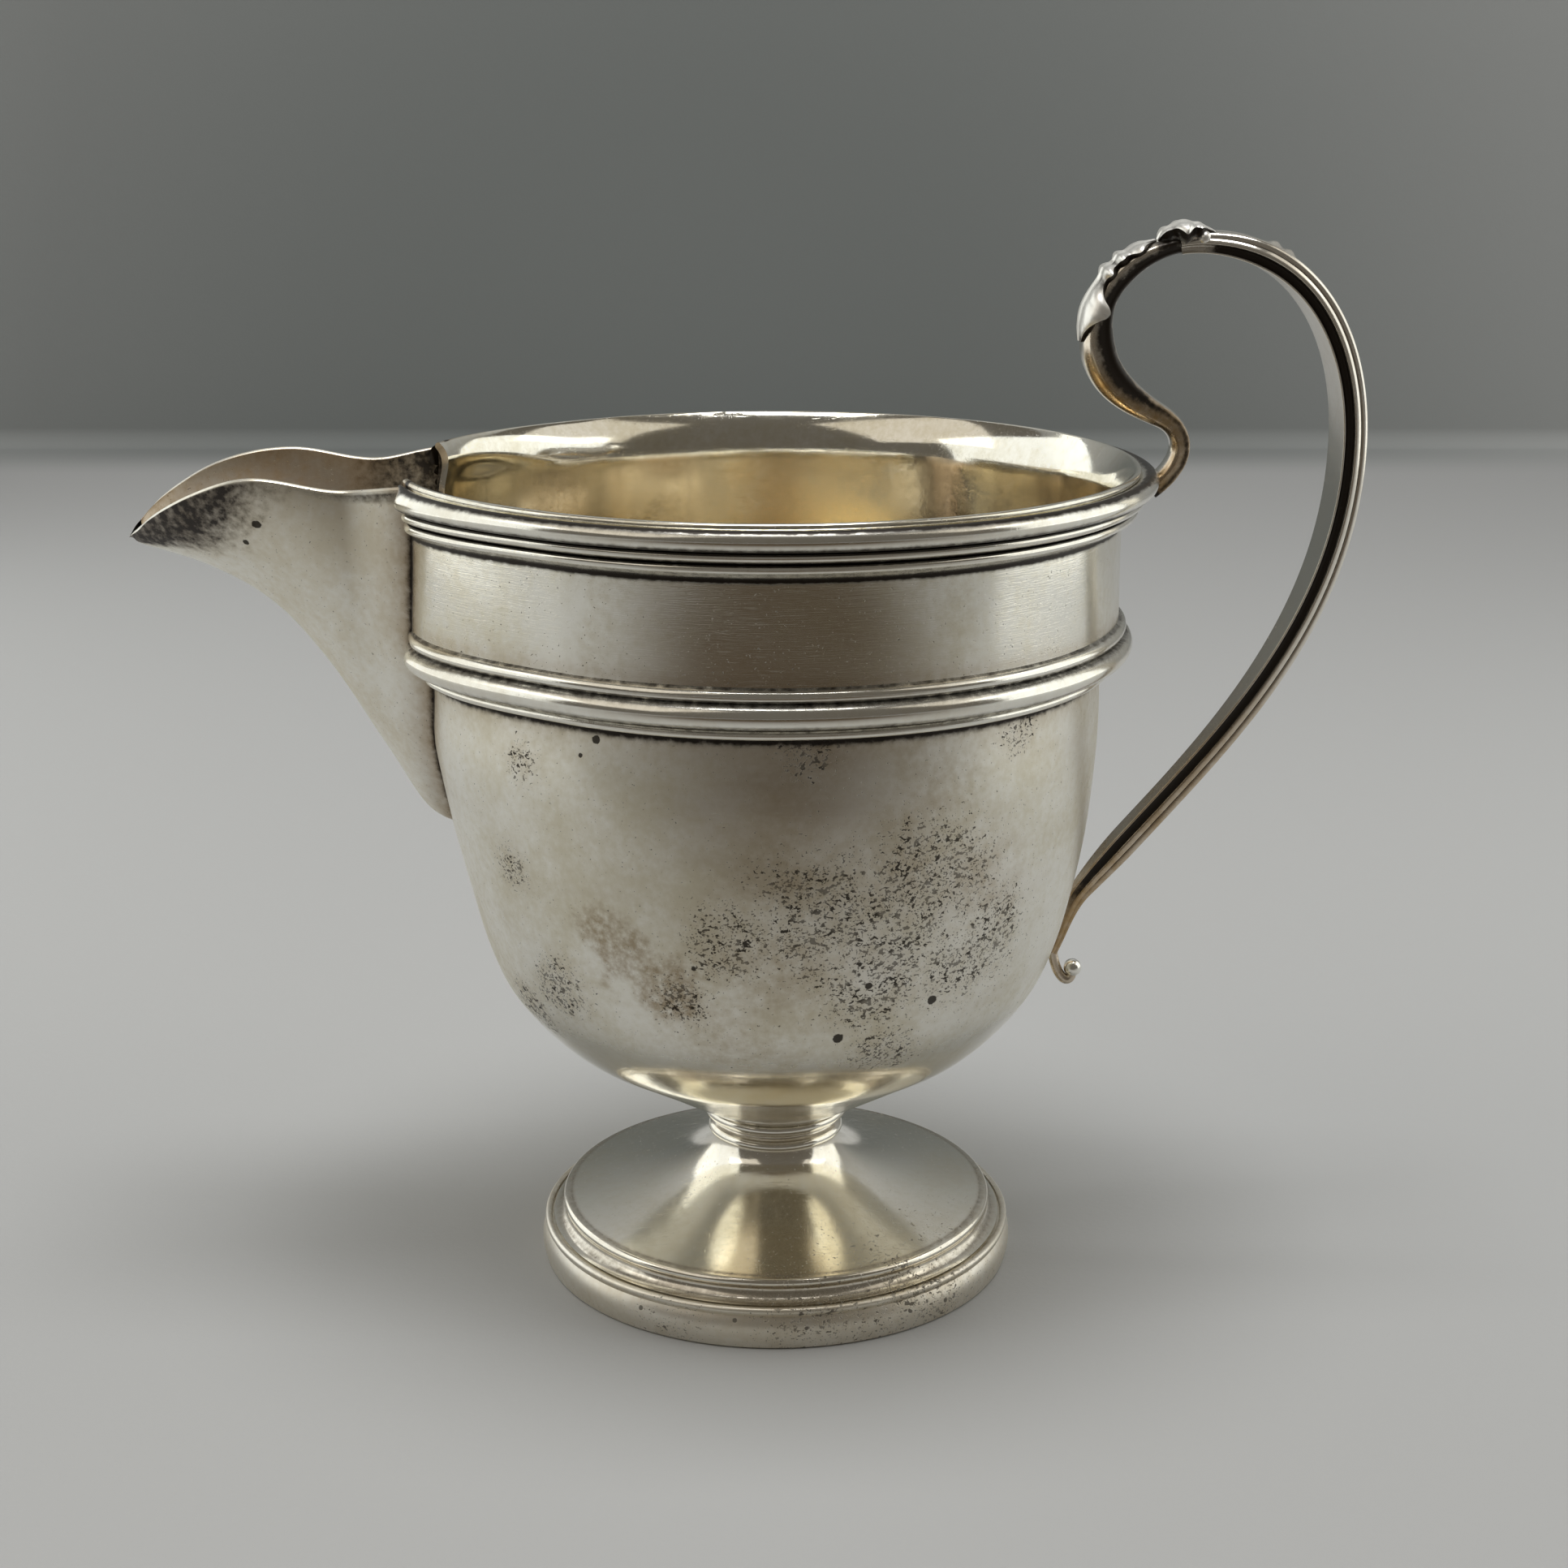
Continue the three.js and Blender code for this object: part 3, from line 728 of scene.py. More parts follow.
@dataclass(frozen=True)
class BowlForm:
    """Outside form of the bowl: a cone, a shoulder, a nearly straight wall, a step and a flared lip."""

    rim_height: float = 80.9
    wall_radius: float = 32.9
    wall_step: float = 1.6
    sheet: float = 0.7
    seat_height: float = 15.6
    seat_radius: float = 7.2
    cone_rise: float = 7.4
    cone_radius: float = 19.4
    cone_ease: float = 0.22
    shoulder_rise: float = 15.4
    shoulder_inset: float = 4.7
    shoulder_steepness: float = 2.0
    shoulder_ease_in: float = 1.2
    shoulder_ease_out: float = 1.8
    wall_ease: float = 13.4
    girdle_drop: float = 16.5
    girdle_step_top: float = 0.6
    girdle_step_foot: float = 2.4
    girdle_straight: float = 6.0
    lip_flare: float = 1.6
    lip_height: float = 4.4
    lip_edge_drop: float = 0.4
    drawn_reach: float = 2.4
    drawn_at_rim: float = 0.45
    drawn_inner: float = math.radians(20)
    drawn_outer: float = math.radians(55)
    drawn_start: float = 43.0
    drawn_full: float = 11.0
    fullness: float = 0.55
    full_span: Quad = (17.0, 30.0, 54.0, 62.0)
    lip_run: float = 1.6
    seat_points: int = 8

    @property
    def bowl_radius(self) -> float:
        """Radius below the step."""
        return self.wall_radius - self.wall_step

    @property
    def girdle_height(self) -> float:
        """Height of the girdle wire."""
        return self.rim_height - self.girdle_drop

    def outside(self) -> Array:
        """Outside line from the middle of the seat to the lip, as lines and Bezier curves.

        Returns:
            Points as (radius, height).
        """
        seat, girdle, rim = self.seat_height, self.girdle_height, self.rim_height
        bowl, wall = self.bowl_radius, self.wall_radius
        cone_top = seat + self.cone_rise
        cone_out = self.cone_ease * (self.cone_radius - self.seat_radius)
        shoulder = (bowl - self.shoulder_inset, seat + self.shoulder_rise)
        ease_in, ease_out = self.shoulder_ease_in, self.shoulder_ease_out
        low = girdle - self.girdle_straight
        step_foot, step_top = girdle - self.girdle_step_foot, girdle + self.girdle_step_top
        lip_foot = rim - self.lip_height
        return chain(
            bezier([(0.0, seat), (self.seat_radius, seat)], self.seat_points),
            bezier([(self.seat_radius, seat), (self.cone_radius, cone_top)], 20),
            bezier([
                (self.cone_radius, cone_top),
                (self.cone_radius + cone_out, cone_top + self.cone_ease * self.cone_rise),
                (shoulder[0] - ease_in, shoulder[1] - self.shoulder_steepness * ease_in),
                shoulder,
            ], 24),
            bezier([
                shoulder,
                (shoulder[0] + ease_out, shoulder[1] + self.shoulder_steepness * ease_out),
                (bowl, low - self.wall_ease),
                (bowl, low),
            ], 40),
            bezier([(bowl, low), (bowl, step_foot)], 16),
            bezier([(bowl, step_foot), (wall, step_top)], 6),
            bezier([(wall, step_top), (wall, lip_foot - self.lip_run)], 14),
            bezier([(wall, lip_foot - self.lip_run), (wall, lip_foot)], 10),
            bezier([
                (wall, lip_foot),
                (wall, rim - self.lip_height / 2),
                (wall + self.lip_flare, rim - self.lip_edge_drop),
            ], 14),
        )

    def radius_at(self, height: Any) -> Array:
        """Outside radius at a height, before the wall is drawn out."""
        line = self.outside()[self.seat_points:]
        return np.interp(height, line[:, 1], line[:, 0])

    def drawn(self, radius: Any, angle: Any, height: Any) -> Array:
        """Radius after the wall is drawn out towards the spout.

        The extra reach is eased around the spout's direction and up the wall, and dies away at the lip. The
        belly is also a little fuller on the spout's side.

        Args:
            radius: Radius before.
            angle: Angle around the axis, 0 at the handle.
            height: Height above the table.

        Returns:
            Radius after.
        """
        aside = np.pi - np.abs(angle)
        side = 1.0 - smoothstep(aside, self.drawn_inner, self.drawn_outer)
        rise = smoothstep(height, self.rim_height - self.drawn_start, self.rim_height - self.drawn_full)
        lip = smoothstep(height, self.rim_height - self.lip_height, self.rim_height)
        extra = self.drawn_reach * side * rise * (1.0 - (1.0 - self.drawn_at_rim) * lip)
        belly = plateau(height, *self.full_span)
        extra = extra + self.fullness * belly * (1.0 - np.cos(angle)) / 2.0
        return radius + np.where(np.asarray(radius) > self.bowl_radius / 2, extra, 0.0)


@dataclass(frozen=True)
class SpoutForm:
    """Form of the folded spout: a keel line, a lip line and a superellipse between them."""

    bowl: BowlForm
    sheet: float = 0.7
    reach: float = 29.0
    inside: float = 6.0
    half_width: float = 10.2
    root_flare: float = 2.6
    flare_run: float = 6.8
    taper_start: float = 0.45
    taper_power: float = 0.75
    roundness: float = 1.45
    tip_fade: float = 2.0
    tip_inset: float = 1.8
    ledge: float = 0.7
    twist: float = 0.6
    twist_span: Quad = (0.5, 0.82, 0.93, 1.0)
    keel: tuple[Pair, ...] = (
        (-0.207, 36.5), (0.025, 34.6), (0.172, 28.1), (0.345, 19.9), (0.517, 13.9), (0.724, 10.1),
        (1.0, 7.4),
    )
    lip: tuple[Pair, ...] = (
        (-0.207, 0.2), (0.035, 0.6), (0.241, 1.3), (0.517, 0.2), (0.724, 1.5), (0.897, 4.3), (1.0, 7.3),
    )

    def tip(self, inset: float) -> float:
        """Share of the reach where the form, set in from the outside, comes to its point."""
        return 1.0 - self.tip_inset * inset / self.reach

    def half(self, share: Any, inset: float) -> Array:
        """Half width along the reach: it flares at the root and tapers to the tip.

        Args:
            share: Share of the reach.
            inset: How far the form is set in.

        Returns:
            Half widths.
        """
        taper = np.clip((share - self.taper_start) / (self.tip(inset) - self.taper_start), 0.0, 1.0)
        flare = self.root_flare * (1.0 - smoothstep(share * self.reach, 0.0, self.flare_run))
        return (self.half_width + flare - inset) * (1.0 - taper**2) ** self.taper_power

    def depth(self, share: Any, inset: float) -> Array:
        """Depth of the keel below the lip.

        Args:
            share: Share of the reach.
            inset: How far the form is set in, measured square to the keel.

        Returns:
            Depths, fading out towards the tip.
        """
        step = 0.01
        rise = through(self.keel, share + step) - through(self.keel, share - step)
        slope = rise / (2 * step * self.reach)
        full = through(self.keel, share) - through(self.lip, share) - inset * np.hypot(1.0, slope)
        return np.maximum(full, 0.0) * np.minimum(1.0, self.half(share, inset) / self.tip_fade)

    def surface(self, share: Any, turn: Any, inset: float) -> Array:
        """Point of the form: y = w |cos a|^(2/n) and z = top - d |sin a|^(2/n) at a share of the reach.

        Args:
            share: Share of the reach, 1 at the tip and below 0 inside the bowl.
            turn: -1 at the near lip, 0 on the keel, 1 at the far lip.
            inset: How far the form is set in from the outside.

        Returns:
            Points, with the last axis of length 3.
        """
        angle = np.pi * (1.0 + (np.asarray(turn) + 1.0) / 2.0)
        cos, sin = np.cos(angle), np.sin(angle)
        power = 2.0 / self.roundness
        lean = signed_power(cos, power)
        bent = self.twist * plateau(share, *self.twist_span)
        x = -(self.bowl.wall_radius + share * self.reach)
        y = self.half(share, inset) * lean
        top = self.bowl.rim_height - through(self.lip, share)
        z = top - self.depth(share, inset) * np.abs(sin) ** power + bent * lean
        return np.stack(np.broadcast_arrays(x, y, z), axis=-1)

    def width_at(self, x: Array, height: Array, inset: float) -> Array:
        """Half width of the form at a place along X and a height.

        Args:
            x: Places along X.
            height: Heights.
            inset: How far the form is set in.

        Returns:
            Half widths, 0 below the keel and beyond the form's inner end.
        """
        share = (-x - self.bowl.wall_radius) / self.reach
        top = self.bowl.rim_height - through(self.lip, share)
        down = np.clip((top - height) / np.maximum(self.depth(share, inset), 1e-6), 0.0, 1.0)
        width = self.half(share, inset) * (1.0 - down**self.roundness) ** (1.0 / self.roundness)
        return np.where(share < -self.inside / self.reach, 0.0, width)

    def root(self, turn: Array, inset: float, sink: float) -> Array:
        """Share of the reach where the form meets the wall, found by halving.

        Args:
            turn: Places around the form.
            inset: How far the form is set in.
            sink: How deep the root goes into the wall.

        Returns:
            Shares, one for each turn.
        """
        low = np.full(turn.shape, -self.inside / self.reach)
        high = np.full(turn.shape, 0.5)
        for _ in range(40):
            middle = (low + high) / 2.0
            x, y, z = np.moveaxis(self.surface(middle, turn, inset), -1, 0)
            wall = self.bowl.drawn(self.bowl.radius_at(z), np.arctan2(y, x), z) - sink
            outside = np.hypot(x, y) > wall
            high = np.where(outside, middle, high)
            low = np.where(outside, low, middle)
        return (low + high) / 2.0

    def gap_angle(self, radius: Array, height: Array, inset: float) -> Array:
        """Half angle that the form takes out of a ring of the wall, by repeated substitution.

        Args:
            radius: Ring radii before the wall is drawn out.
            height: Ring heights.
            inset: How far the form is set in.

        Returns:
            Half angles around the spout's direction.
        """
        angle = np.zeros(np.shape(radius))
        for _ in range(30):
            out = self.bowl.drawn(radius, np.pi - angle, height)
            width = self.width_at(-out * np.cos(angle), height, inset)
            angle = 0.5 * angle + 0.5 * np.arcsin(np.clip(width / np.maximum(out, 1e-6), 0.0, 0.9))
        return np.where(angle > 1e-3, angle, 0.0)


# Sub-assemblies


@dataclass(frozen=True)
class Bead:
    """One bead of a reeded wire: how far its centre stands off the wall, its height and its radius."""

    out: float
    up: float
    radius: float


@dataclass
class Body:
    """The raised bowl with its rim and girdle wires."""

    bowl: BowlForm
    spout: SpoutForm
    columns: int = 240
    seat_sink: float = 0.1
    end_sink: float = 0.2
    end_share: float = 0.4
    end_run: float = 5.0
    planish: float = 0.035
    dents: float = 0.05
    dents_deeper: float = 1.2
    seam_radius: float = 31.0
    dents_fade: float = 3.0
    planish_span: Pair = (4.0, 20.0)
    gilt_edge: Pair = (-0.4, 0.9)
    tint_span: Pair = (27.0, 29.5)
    rubbed_span: Pair = (0.55, 0.9)
    belly_low: Pair = (28.0, 31.0)
    belly_high: Pair = (61.0, 64.0)
    gilt_bands: tuple[Triple, ...] = ((0.5, 1.57, 0.11), (0.3, 2.35, 0.1))
    bead_arc: Pair = (-66.0, 82.0)
    groove_reach: float = 1.1
    groove_depth: float = 0.55
    # How dark the grooves of the rim and girdle wires are: tarnish and painted shade.
    rim_dirt_and_shade: float = 1.0
    girdle_dirt_and_shade: float = 0.55
    rim_beads: tuple[Bead, ...] = (
        Bead(1.1, -3.75, 0.42), Bead(1.8, -2.62, 0.38), Bead(2.4, -1.15, 0.93),
    )
    rim_span: Pair = (-4.9, -0.5)
    girdle_beads: tuple[Bead, ...] = (
        Bead(-0.7, -1.9, 0.42), Bead(0.25, -0.05, 1.15), Bead(0.15, 1.65, 0.6),
    )
    girdle_span: Pair = (-2.7, 2.5)

    def bowl_skin(self) -> Skin:
        """The bowl sheet with the pouring opening left out.

        Point (u, v) has the profile's radius and height at v, and the angle u (pi - g), where u runs from -1
        to 1 and g is the half angle of the opening at that height. Below the opening g is 0 and the two edges
        meet.

        Returns:
            The skin.
        """
        outside = self.bowl.outside()
        inside = offset(outside, self.bowl.sheet)
        inside[0, 0] = 0.0
        gap = self.spout.gap_angle(outside[:, 0], outside[:, 1], self.spout.sheet + self.spout.ledge)
        lip = (outside[-1] + inside[-1]) / 2.0
        lean = math.degrees(math.atan2(*(outside[-1] - lip)[::-1]))
        edge = arc(tuple(lip), self.bowl.sheet / 2.0, lean, lean + 180.0, 9)[1:-1]
        outline = np.concatenate([outside, edge, inside[::-1]])
        gaps = np.concatenate([gap, np.full(len(edge), gap[-1]), gap[::-1]])[:, None]
        inner = (np.arange(len(outline)) >= len(outside) + len(edge))[:, None]
        u = np.linspace(-1.0, 1.0, self.columns)[None, :]
        points = self._bowl_points(outline, inner, u * (np.pi - gaps))
        rows, count = len(outline), len(outside)
        faces = quads(rows, self.columns).tolist()
        cut = np.flatnonzero(np.maximum(gap[1:], gap[:-1]) > 0.0)
        for column in (0, self.columns - 1):
            at = np.arange(rows) * self.columns + column
            back = at[::-1]
            strip = np.stack([at[cut], at[cut + 1], back[cut + 1], back[cut]], axis=1)
            faces += strip.tolist()
            faces.append(at[count - 1:rows - count + 1].tolist())
        return Skin(points.reshape(-1, 3), faces, self._bowl_marks(outline[:, 1:], inner, gaps, u))

    def _bowl_points(self, outline: Array, inner: Array, angle: Array) -> Array:
        """The drawn-out wall, with hammered unevenness all over and upright dents inside.

        Args:
            outline: Section of the sheet as (radius, height).
            inner: Rows on the inner side.
            angle: Angle of each point around the axis.

        Returns:
            Points, shape (rows, columns, 3).
        """
        height = outline[:, 1:] + 0.0 * angle
        radius = self.bowl.drawn(outline[:, :1] + 0.0 * angle, angle, height)
        beat = np.sin(7 * angle + 0.21 * height) * np.sin(0.37 * height + 3 * np.cos(angle))
        radius = radius + self.planish * beat * smoothstep(radius, *self.planish_span)
        dent = np.sin(11 * angle + 2.0 * np.sin(3 * angle)) * np.cos(0.06 * height + 2 * np.cos(2 * angle))
        flare = self.bowl.rim_height - self.bowl.lip_height
        deeper = 1.0 + self.dents_deeper * (1.0 - smoothstep(height, flare - self.dents_fade, flare))
        radius = radius + np.where(inner, self.dents * deeper * dent, 0.0)
        return turned(radius, angle, height)

    def _bowl_marks(self, height: Array, inner: Array, gaps: Array, u: Array) -> dict[Mark, Array]:
        """Dirt along the seams with painted shade under the wires, stains beside them, gilding inside and
        wear on the belly.

        Args:
            height: Height of each row.
            inner: Rows on the inner side.
            gaps: Half angle of the opening at each row.
            u: Place of each column, -1 and 1 at the edges of the opening.

        Returns:
            The marks of the bowl.
        """
        bowl, spout = self.bowl, self.spout
        angle = u * (np.pi - gaps)
        flare = bowl.rim_height - bowl.lip_height
        under, over = (bowl.girdle_height + edge for edge in self.girdle_span)
        below_rim = bowl.rim_height + self.rim_span[0]
        off_seam = (1.0 - np.abs(u)) * self.seam_radius * (np.pi - gaps) - spout.sheet - spout.ledge
        root = np.where(inner, 0.1, 1.0) * (gaps > 0.0)
        gilded = 1.0 - smoothstep(height - flare, *self.gilt_edge)
        tinted = 0.5 * (1.0 - smoothstep(height, *self.tint_span))
        gilt = np.where(inner, gilded, tinted)
        rubbed = 1.0 - 0.7 * smoothstep(-np.cos(angle), *self.rubbed_span)
        # Dark lines at the foot of the girdle wire, under the rim wire and at the seat: dark seams, with
        # painted shade under the wires.
        seam = 1.1 * fade(height - under, 0.4) + 1.5 * fade(height - below_rim, 0.22)
        seam = seam + 0.35 * fade(height - bowl.seat_height, 0.5)
        grime_and_shade = np.maximum(np.where(inner, 0.0, seam), fade(off_seam, 0.5) * root)
        bands = sum(share * hump(angle, at, reach) for share, at, reach in self.gilt_bands)
        ring = 0.5 * fade(height - over, 0.8) + 0.5 * fade(height - under, 1.3)
        stain = np.where(inner, bands * gilt, np.maximum(0.7 * fade(off_seam, 2.5) * root, ring))
        belly = smoothstep(height, *self.belly_low) * (1.0 - 0.65 * smoothstep(height, *self.belly_high))
        worn = np.where(inner, 0.0, belly) + 0.0 * u
        marks = {Mark.GRIME_AND_SHADE: grime_and_shade, Mark.STAIN: stain, Mark.GILT: gilt * rubbed, Mark.WORN: worn}
        return {mark: values.ravel() for mark, values in marks.items()}

    def wire_skin(self, beads: Sequence[Bead], level: float, span: Pair, dirt_and_shade: float) -> Skin:
        """A reeded wire: arcs of its beads outside and the wall's own line inside, ended on the spout.

        Args:
            beads: The wire's beads from the lowest up.
            level: Height that the beads are measured from.
            span: Lowest and highest edge of the wire on the wall.
            dirt_and_shade: How dark its grooves are, from tarnish and painted shade.

        Returns:
            The skin.
        """
        wall = self.bowl.wall_radius
        arcs = [arc((wall + b.out, level + b.up), b.radius, *self.bead_arc, 15) for b in beads]
        seat_height = level + np.linspace(span[0], span[1], 14)
        seat = np.stack([self.bowl.radius_at(seat_height) - self.seat_sink, seat_height], axis=1)
        face = chain(seat[:1], *arcs, seat[-1:])
        hollow = hollow_of(face, self.groove_reach, self.groove_depth)
        outline = np.concatenate([face, seat[-2:0:-1]])
        grime_and_shade = np.concatenate([hollow, np.ones(len(seat) - 2)])
        gap = self.spout.gap_angle(outline[:, 0], outline[:, 1], self.end_sink)
        u = np.linspace(-1.0, 1.0, self.columns)[None, :]
        angle = u * (np.pi - gap[:, None])
        from_end = (1.0 - np.abs(u)) * np.pi
        die = self.end_share + (1.0 - self.end_share) * smoothstep(from_end * wall, 0.0, self.end_run)
        base = self.bowl.radius_at(outline[:, 1])[:, None]
        radius = self.bowl.drawn(base + (outline[:, :1] - base) * die, angle, outline[:, 1:] + 0.0 * u)
        points = turned(radius, angle, outline[:, 1:])
        rows = len(outline)
        faces = quads(rows, self.columns, wrap_rows=True).tolist()
        for column in (0, self.columns - 1):
            faces.append((np.arange(rows) * self.columns + column).tolist())
        # Grooves darkened with tarnish and painted shade, and the ends dark where they meet the spout.
        ends = fade(from_end * self.seam_radius, 0.9)
        grime_and_shade = np.maximum(dirt_and_shade * grime_and_shade[:, None], 0.8 * ends)
        return Skin(points.reshape(-1, 3), faces, {Mark.GRIME_AND_SHADE: grime_and_shade.ravel()})

    def build(self, satin: Material, bright: Material) -> None:
        """Makes the bowl and its two wires.

        Args:
            satin: Finish of the bowl.
            bright: Finish of the wires.
        """
        make_piece("bowl", self.bowl_skin(), satin)
        rim = self.wire_skin(self.rim_beads, self.bowl.rim_height, self.rim_span, self.rim_dirt_and_shade)
        make_piece("rim_moulding", rim, bright)
        level = self.bowl.girdle_height
        girdle = self.wire_skin(self.girdle_beads, level, self.girdle_span, self.girdle_dirt_and_shade)
        make_piece("girdle_moulding", girdle, bright)


@dataclass
class Spout:
    """The folded pouring spout."""

    form: SpoutForm
    rows: int = 130
    around: int = 81
    edge: int = 5
    edge_crown: float = 0.18
    root_sink: float = 0.12
    row_power: float = 1.25
    film_side: Quad = (0.2, 0.6, 0.96, 1.0)
    film_span: Pair = (0.36, 0.86)
    film_slant: Pair = (0.45, 0.75)
    # Painted shade under the rolled lips, weaker towards the tip.
    under_lip_shade: Pair = (0.965, 0.02)
    under_lip_shade_span: Pair = (0.1, 0.5)
    inner_film_span: Pair = (0.05, 0.4)
    wear: float = 0.2

    def skin(self) -> Skin:
        """Sheet between two forms, with rounded lips.

        Each row runs near lip, keel, far lip on the outer form, over the far lip's edge, back along the inner
        form and over the near lip's edge. Rows go from the tip to the wall, where each column ends on the
        wall.

        Returns:
            The skin.
        """
        form = self.form
        turn = np.linspace(-1.0, 1.0, self.around)
        travel = np.linspace(0.0, 1.0, self.rows)[:, None] ** self.row_power
        sides = []
        for inset in (0.0, form.sheet):
            tip = form.tip(inset)
            root = form.root(turn, inset, self.root_sink)
            share = tip + (root[None, :] - tip) * travel
            sides.append((form.surface(share, turn[None, :], inset), share))
        (outer, outer_share), (inner, _) = sides
        t = np.linspace(0.0, 1.0, self.edge + 2)[1:-1][None, :, None]
        crown = np.array([0.0, 0.0, self.edge_crown]) * np.sin(np.pi * t)
        far = outer[:, -1:] * (1 - t) + inner[:, -1:] * t + crown
        near = inner[:, :1] * (1 - t) + outer[:, :1] * t + crown
        grid = np.concatenate([outer, far, inner[:, ::-1], near], axis=1)
        columns = grid.shape[1]
        faces = quads(self.rows, columns, wrap_columns=True).tolist()
        last = (self.rows - 1) * columns
        j = np.arange(self.around - 1)
        back = 2 * self.around + self.edge - 1 - j
        strip = last + np.stack([j, j + 1, back - 1, back], axis=1)
        faces += strip.tolist()
        far_end = np.arange(self.around - 1, self.around + self.edge + 1)
        near_end = np.append(np.arange(2 * self.around + self.edge - 1, columns), 0)
        faces += [(last + far_end).tolist(), (last + near_end).tolist()]
        return Skin(grid.reshape(-1, 3), faces, self._marks(grid, outer_share, turn))

    def _marks(self, grid: Array, share: Array, turn: Array) -> dict[Mark, Array]:
        """Dirt along the seam with the wall, painted shade under the lips, and a dark film on the sides near
        the tip.

        Args:
            grid: Points of the sheet.
            share: Share of the reach at the points of the outer form.
            turn: Places around the form.

        Returns:
            The marks of the spout.
        """
        outer = slice(0, self.around)
        inner = slice(self.around + self.edge, 2 * self.around + self.edge)
        gap = np.linalg.norm(grid - grid[-1:], axis=-1)
        grime_and_shade = 0.9 * fade(gap, 0.5)
        stain = 0.75 * fade(gap, 2.0)
        film = np.zeros(gap.shape)
        aside = np.abs(turn)[None, :]
        slope, middle = self.film_slant
        leaning = share + slope * (aside - middle)
        film[:, outer] = smoothstep(leaning, *self.film_span) * plateau(aside, *self.film_side)
        # Painted shade under the lips.
        under = hump(aside, *self.under_lip_shade) * (1.0 - 0.6 * smoothstep(share, *self.under_lip_shade_span))
        grime_and_shade[:, outer] = np.maximum(grime_and_shade[:, outer], 0.7 * under)
        stain[:, outer] = np.maximum(stain[:, outer], 0.5 * film[:, outer])
        film[:, inner] = 0.75 * (1.0 - smoothstep(share[:, ::-1], *self.inner_film_span))
        grime_and_shade[:, inner] *= 0.15
        stain[:, inner] = 0.6
        worn = np.full(gap.shape, self.wear)
        marks = {Mark.GRIME_AND_SHADE: grime_and_shade, Mark.STAIN: stain, Mark.FILM: film, Mark.WORN: worn}
        return {mark: values.ravel() for mark, values in marks.items()}

    def build(self, silver: Material) -> None:
        """Makes the spout."""
        make_piece("pouring_spout", self.skin(), silver)


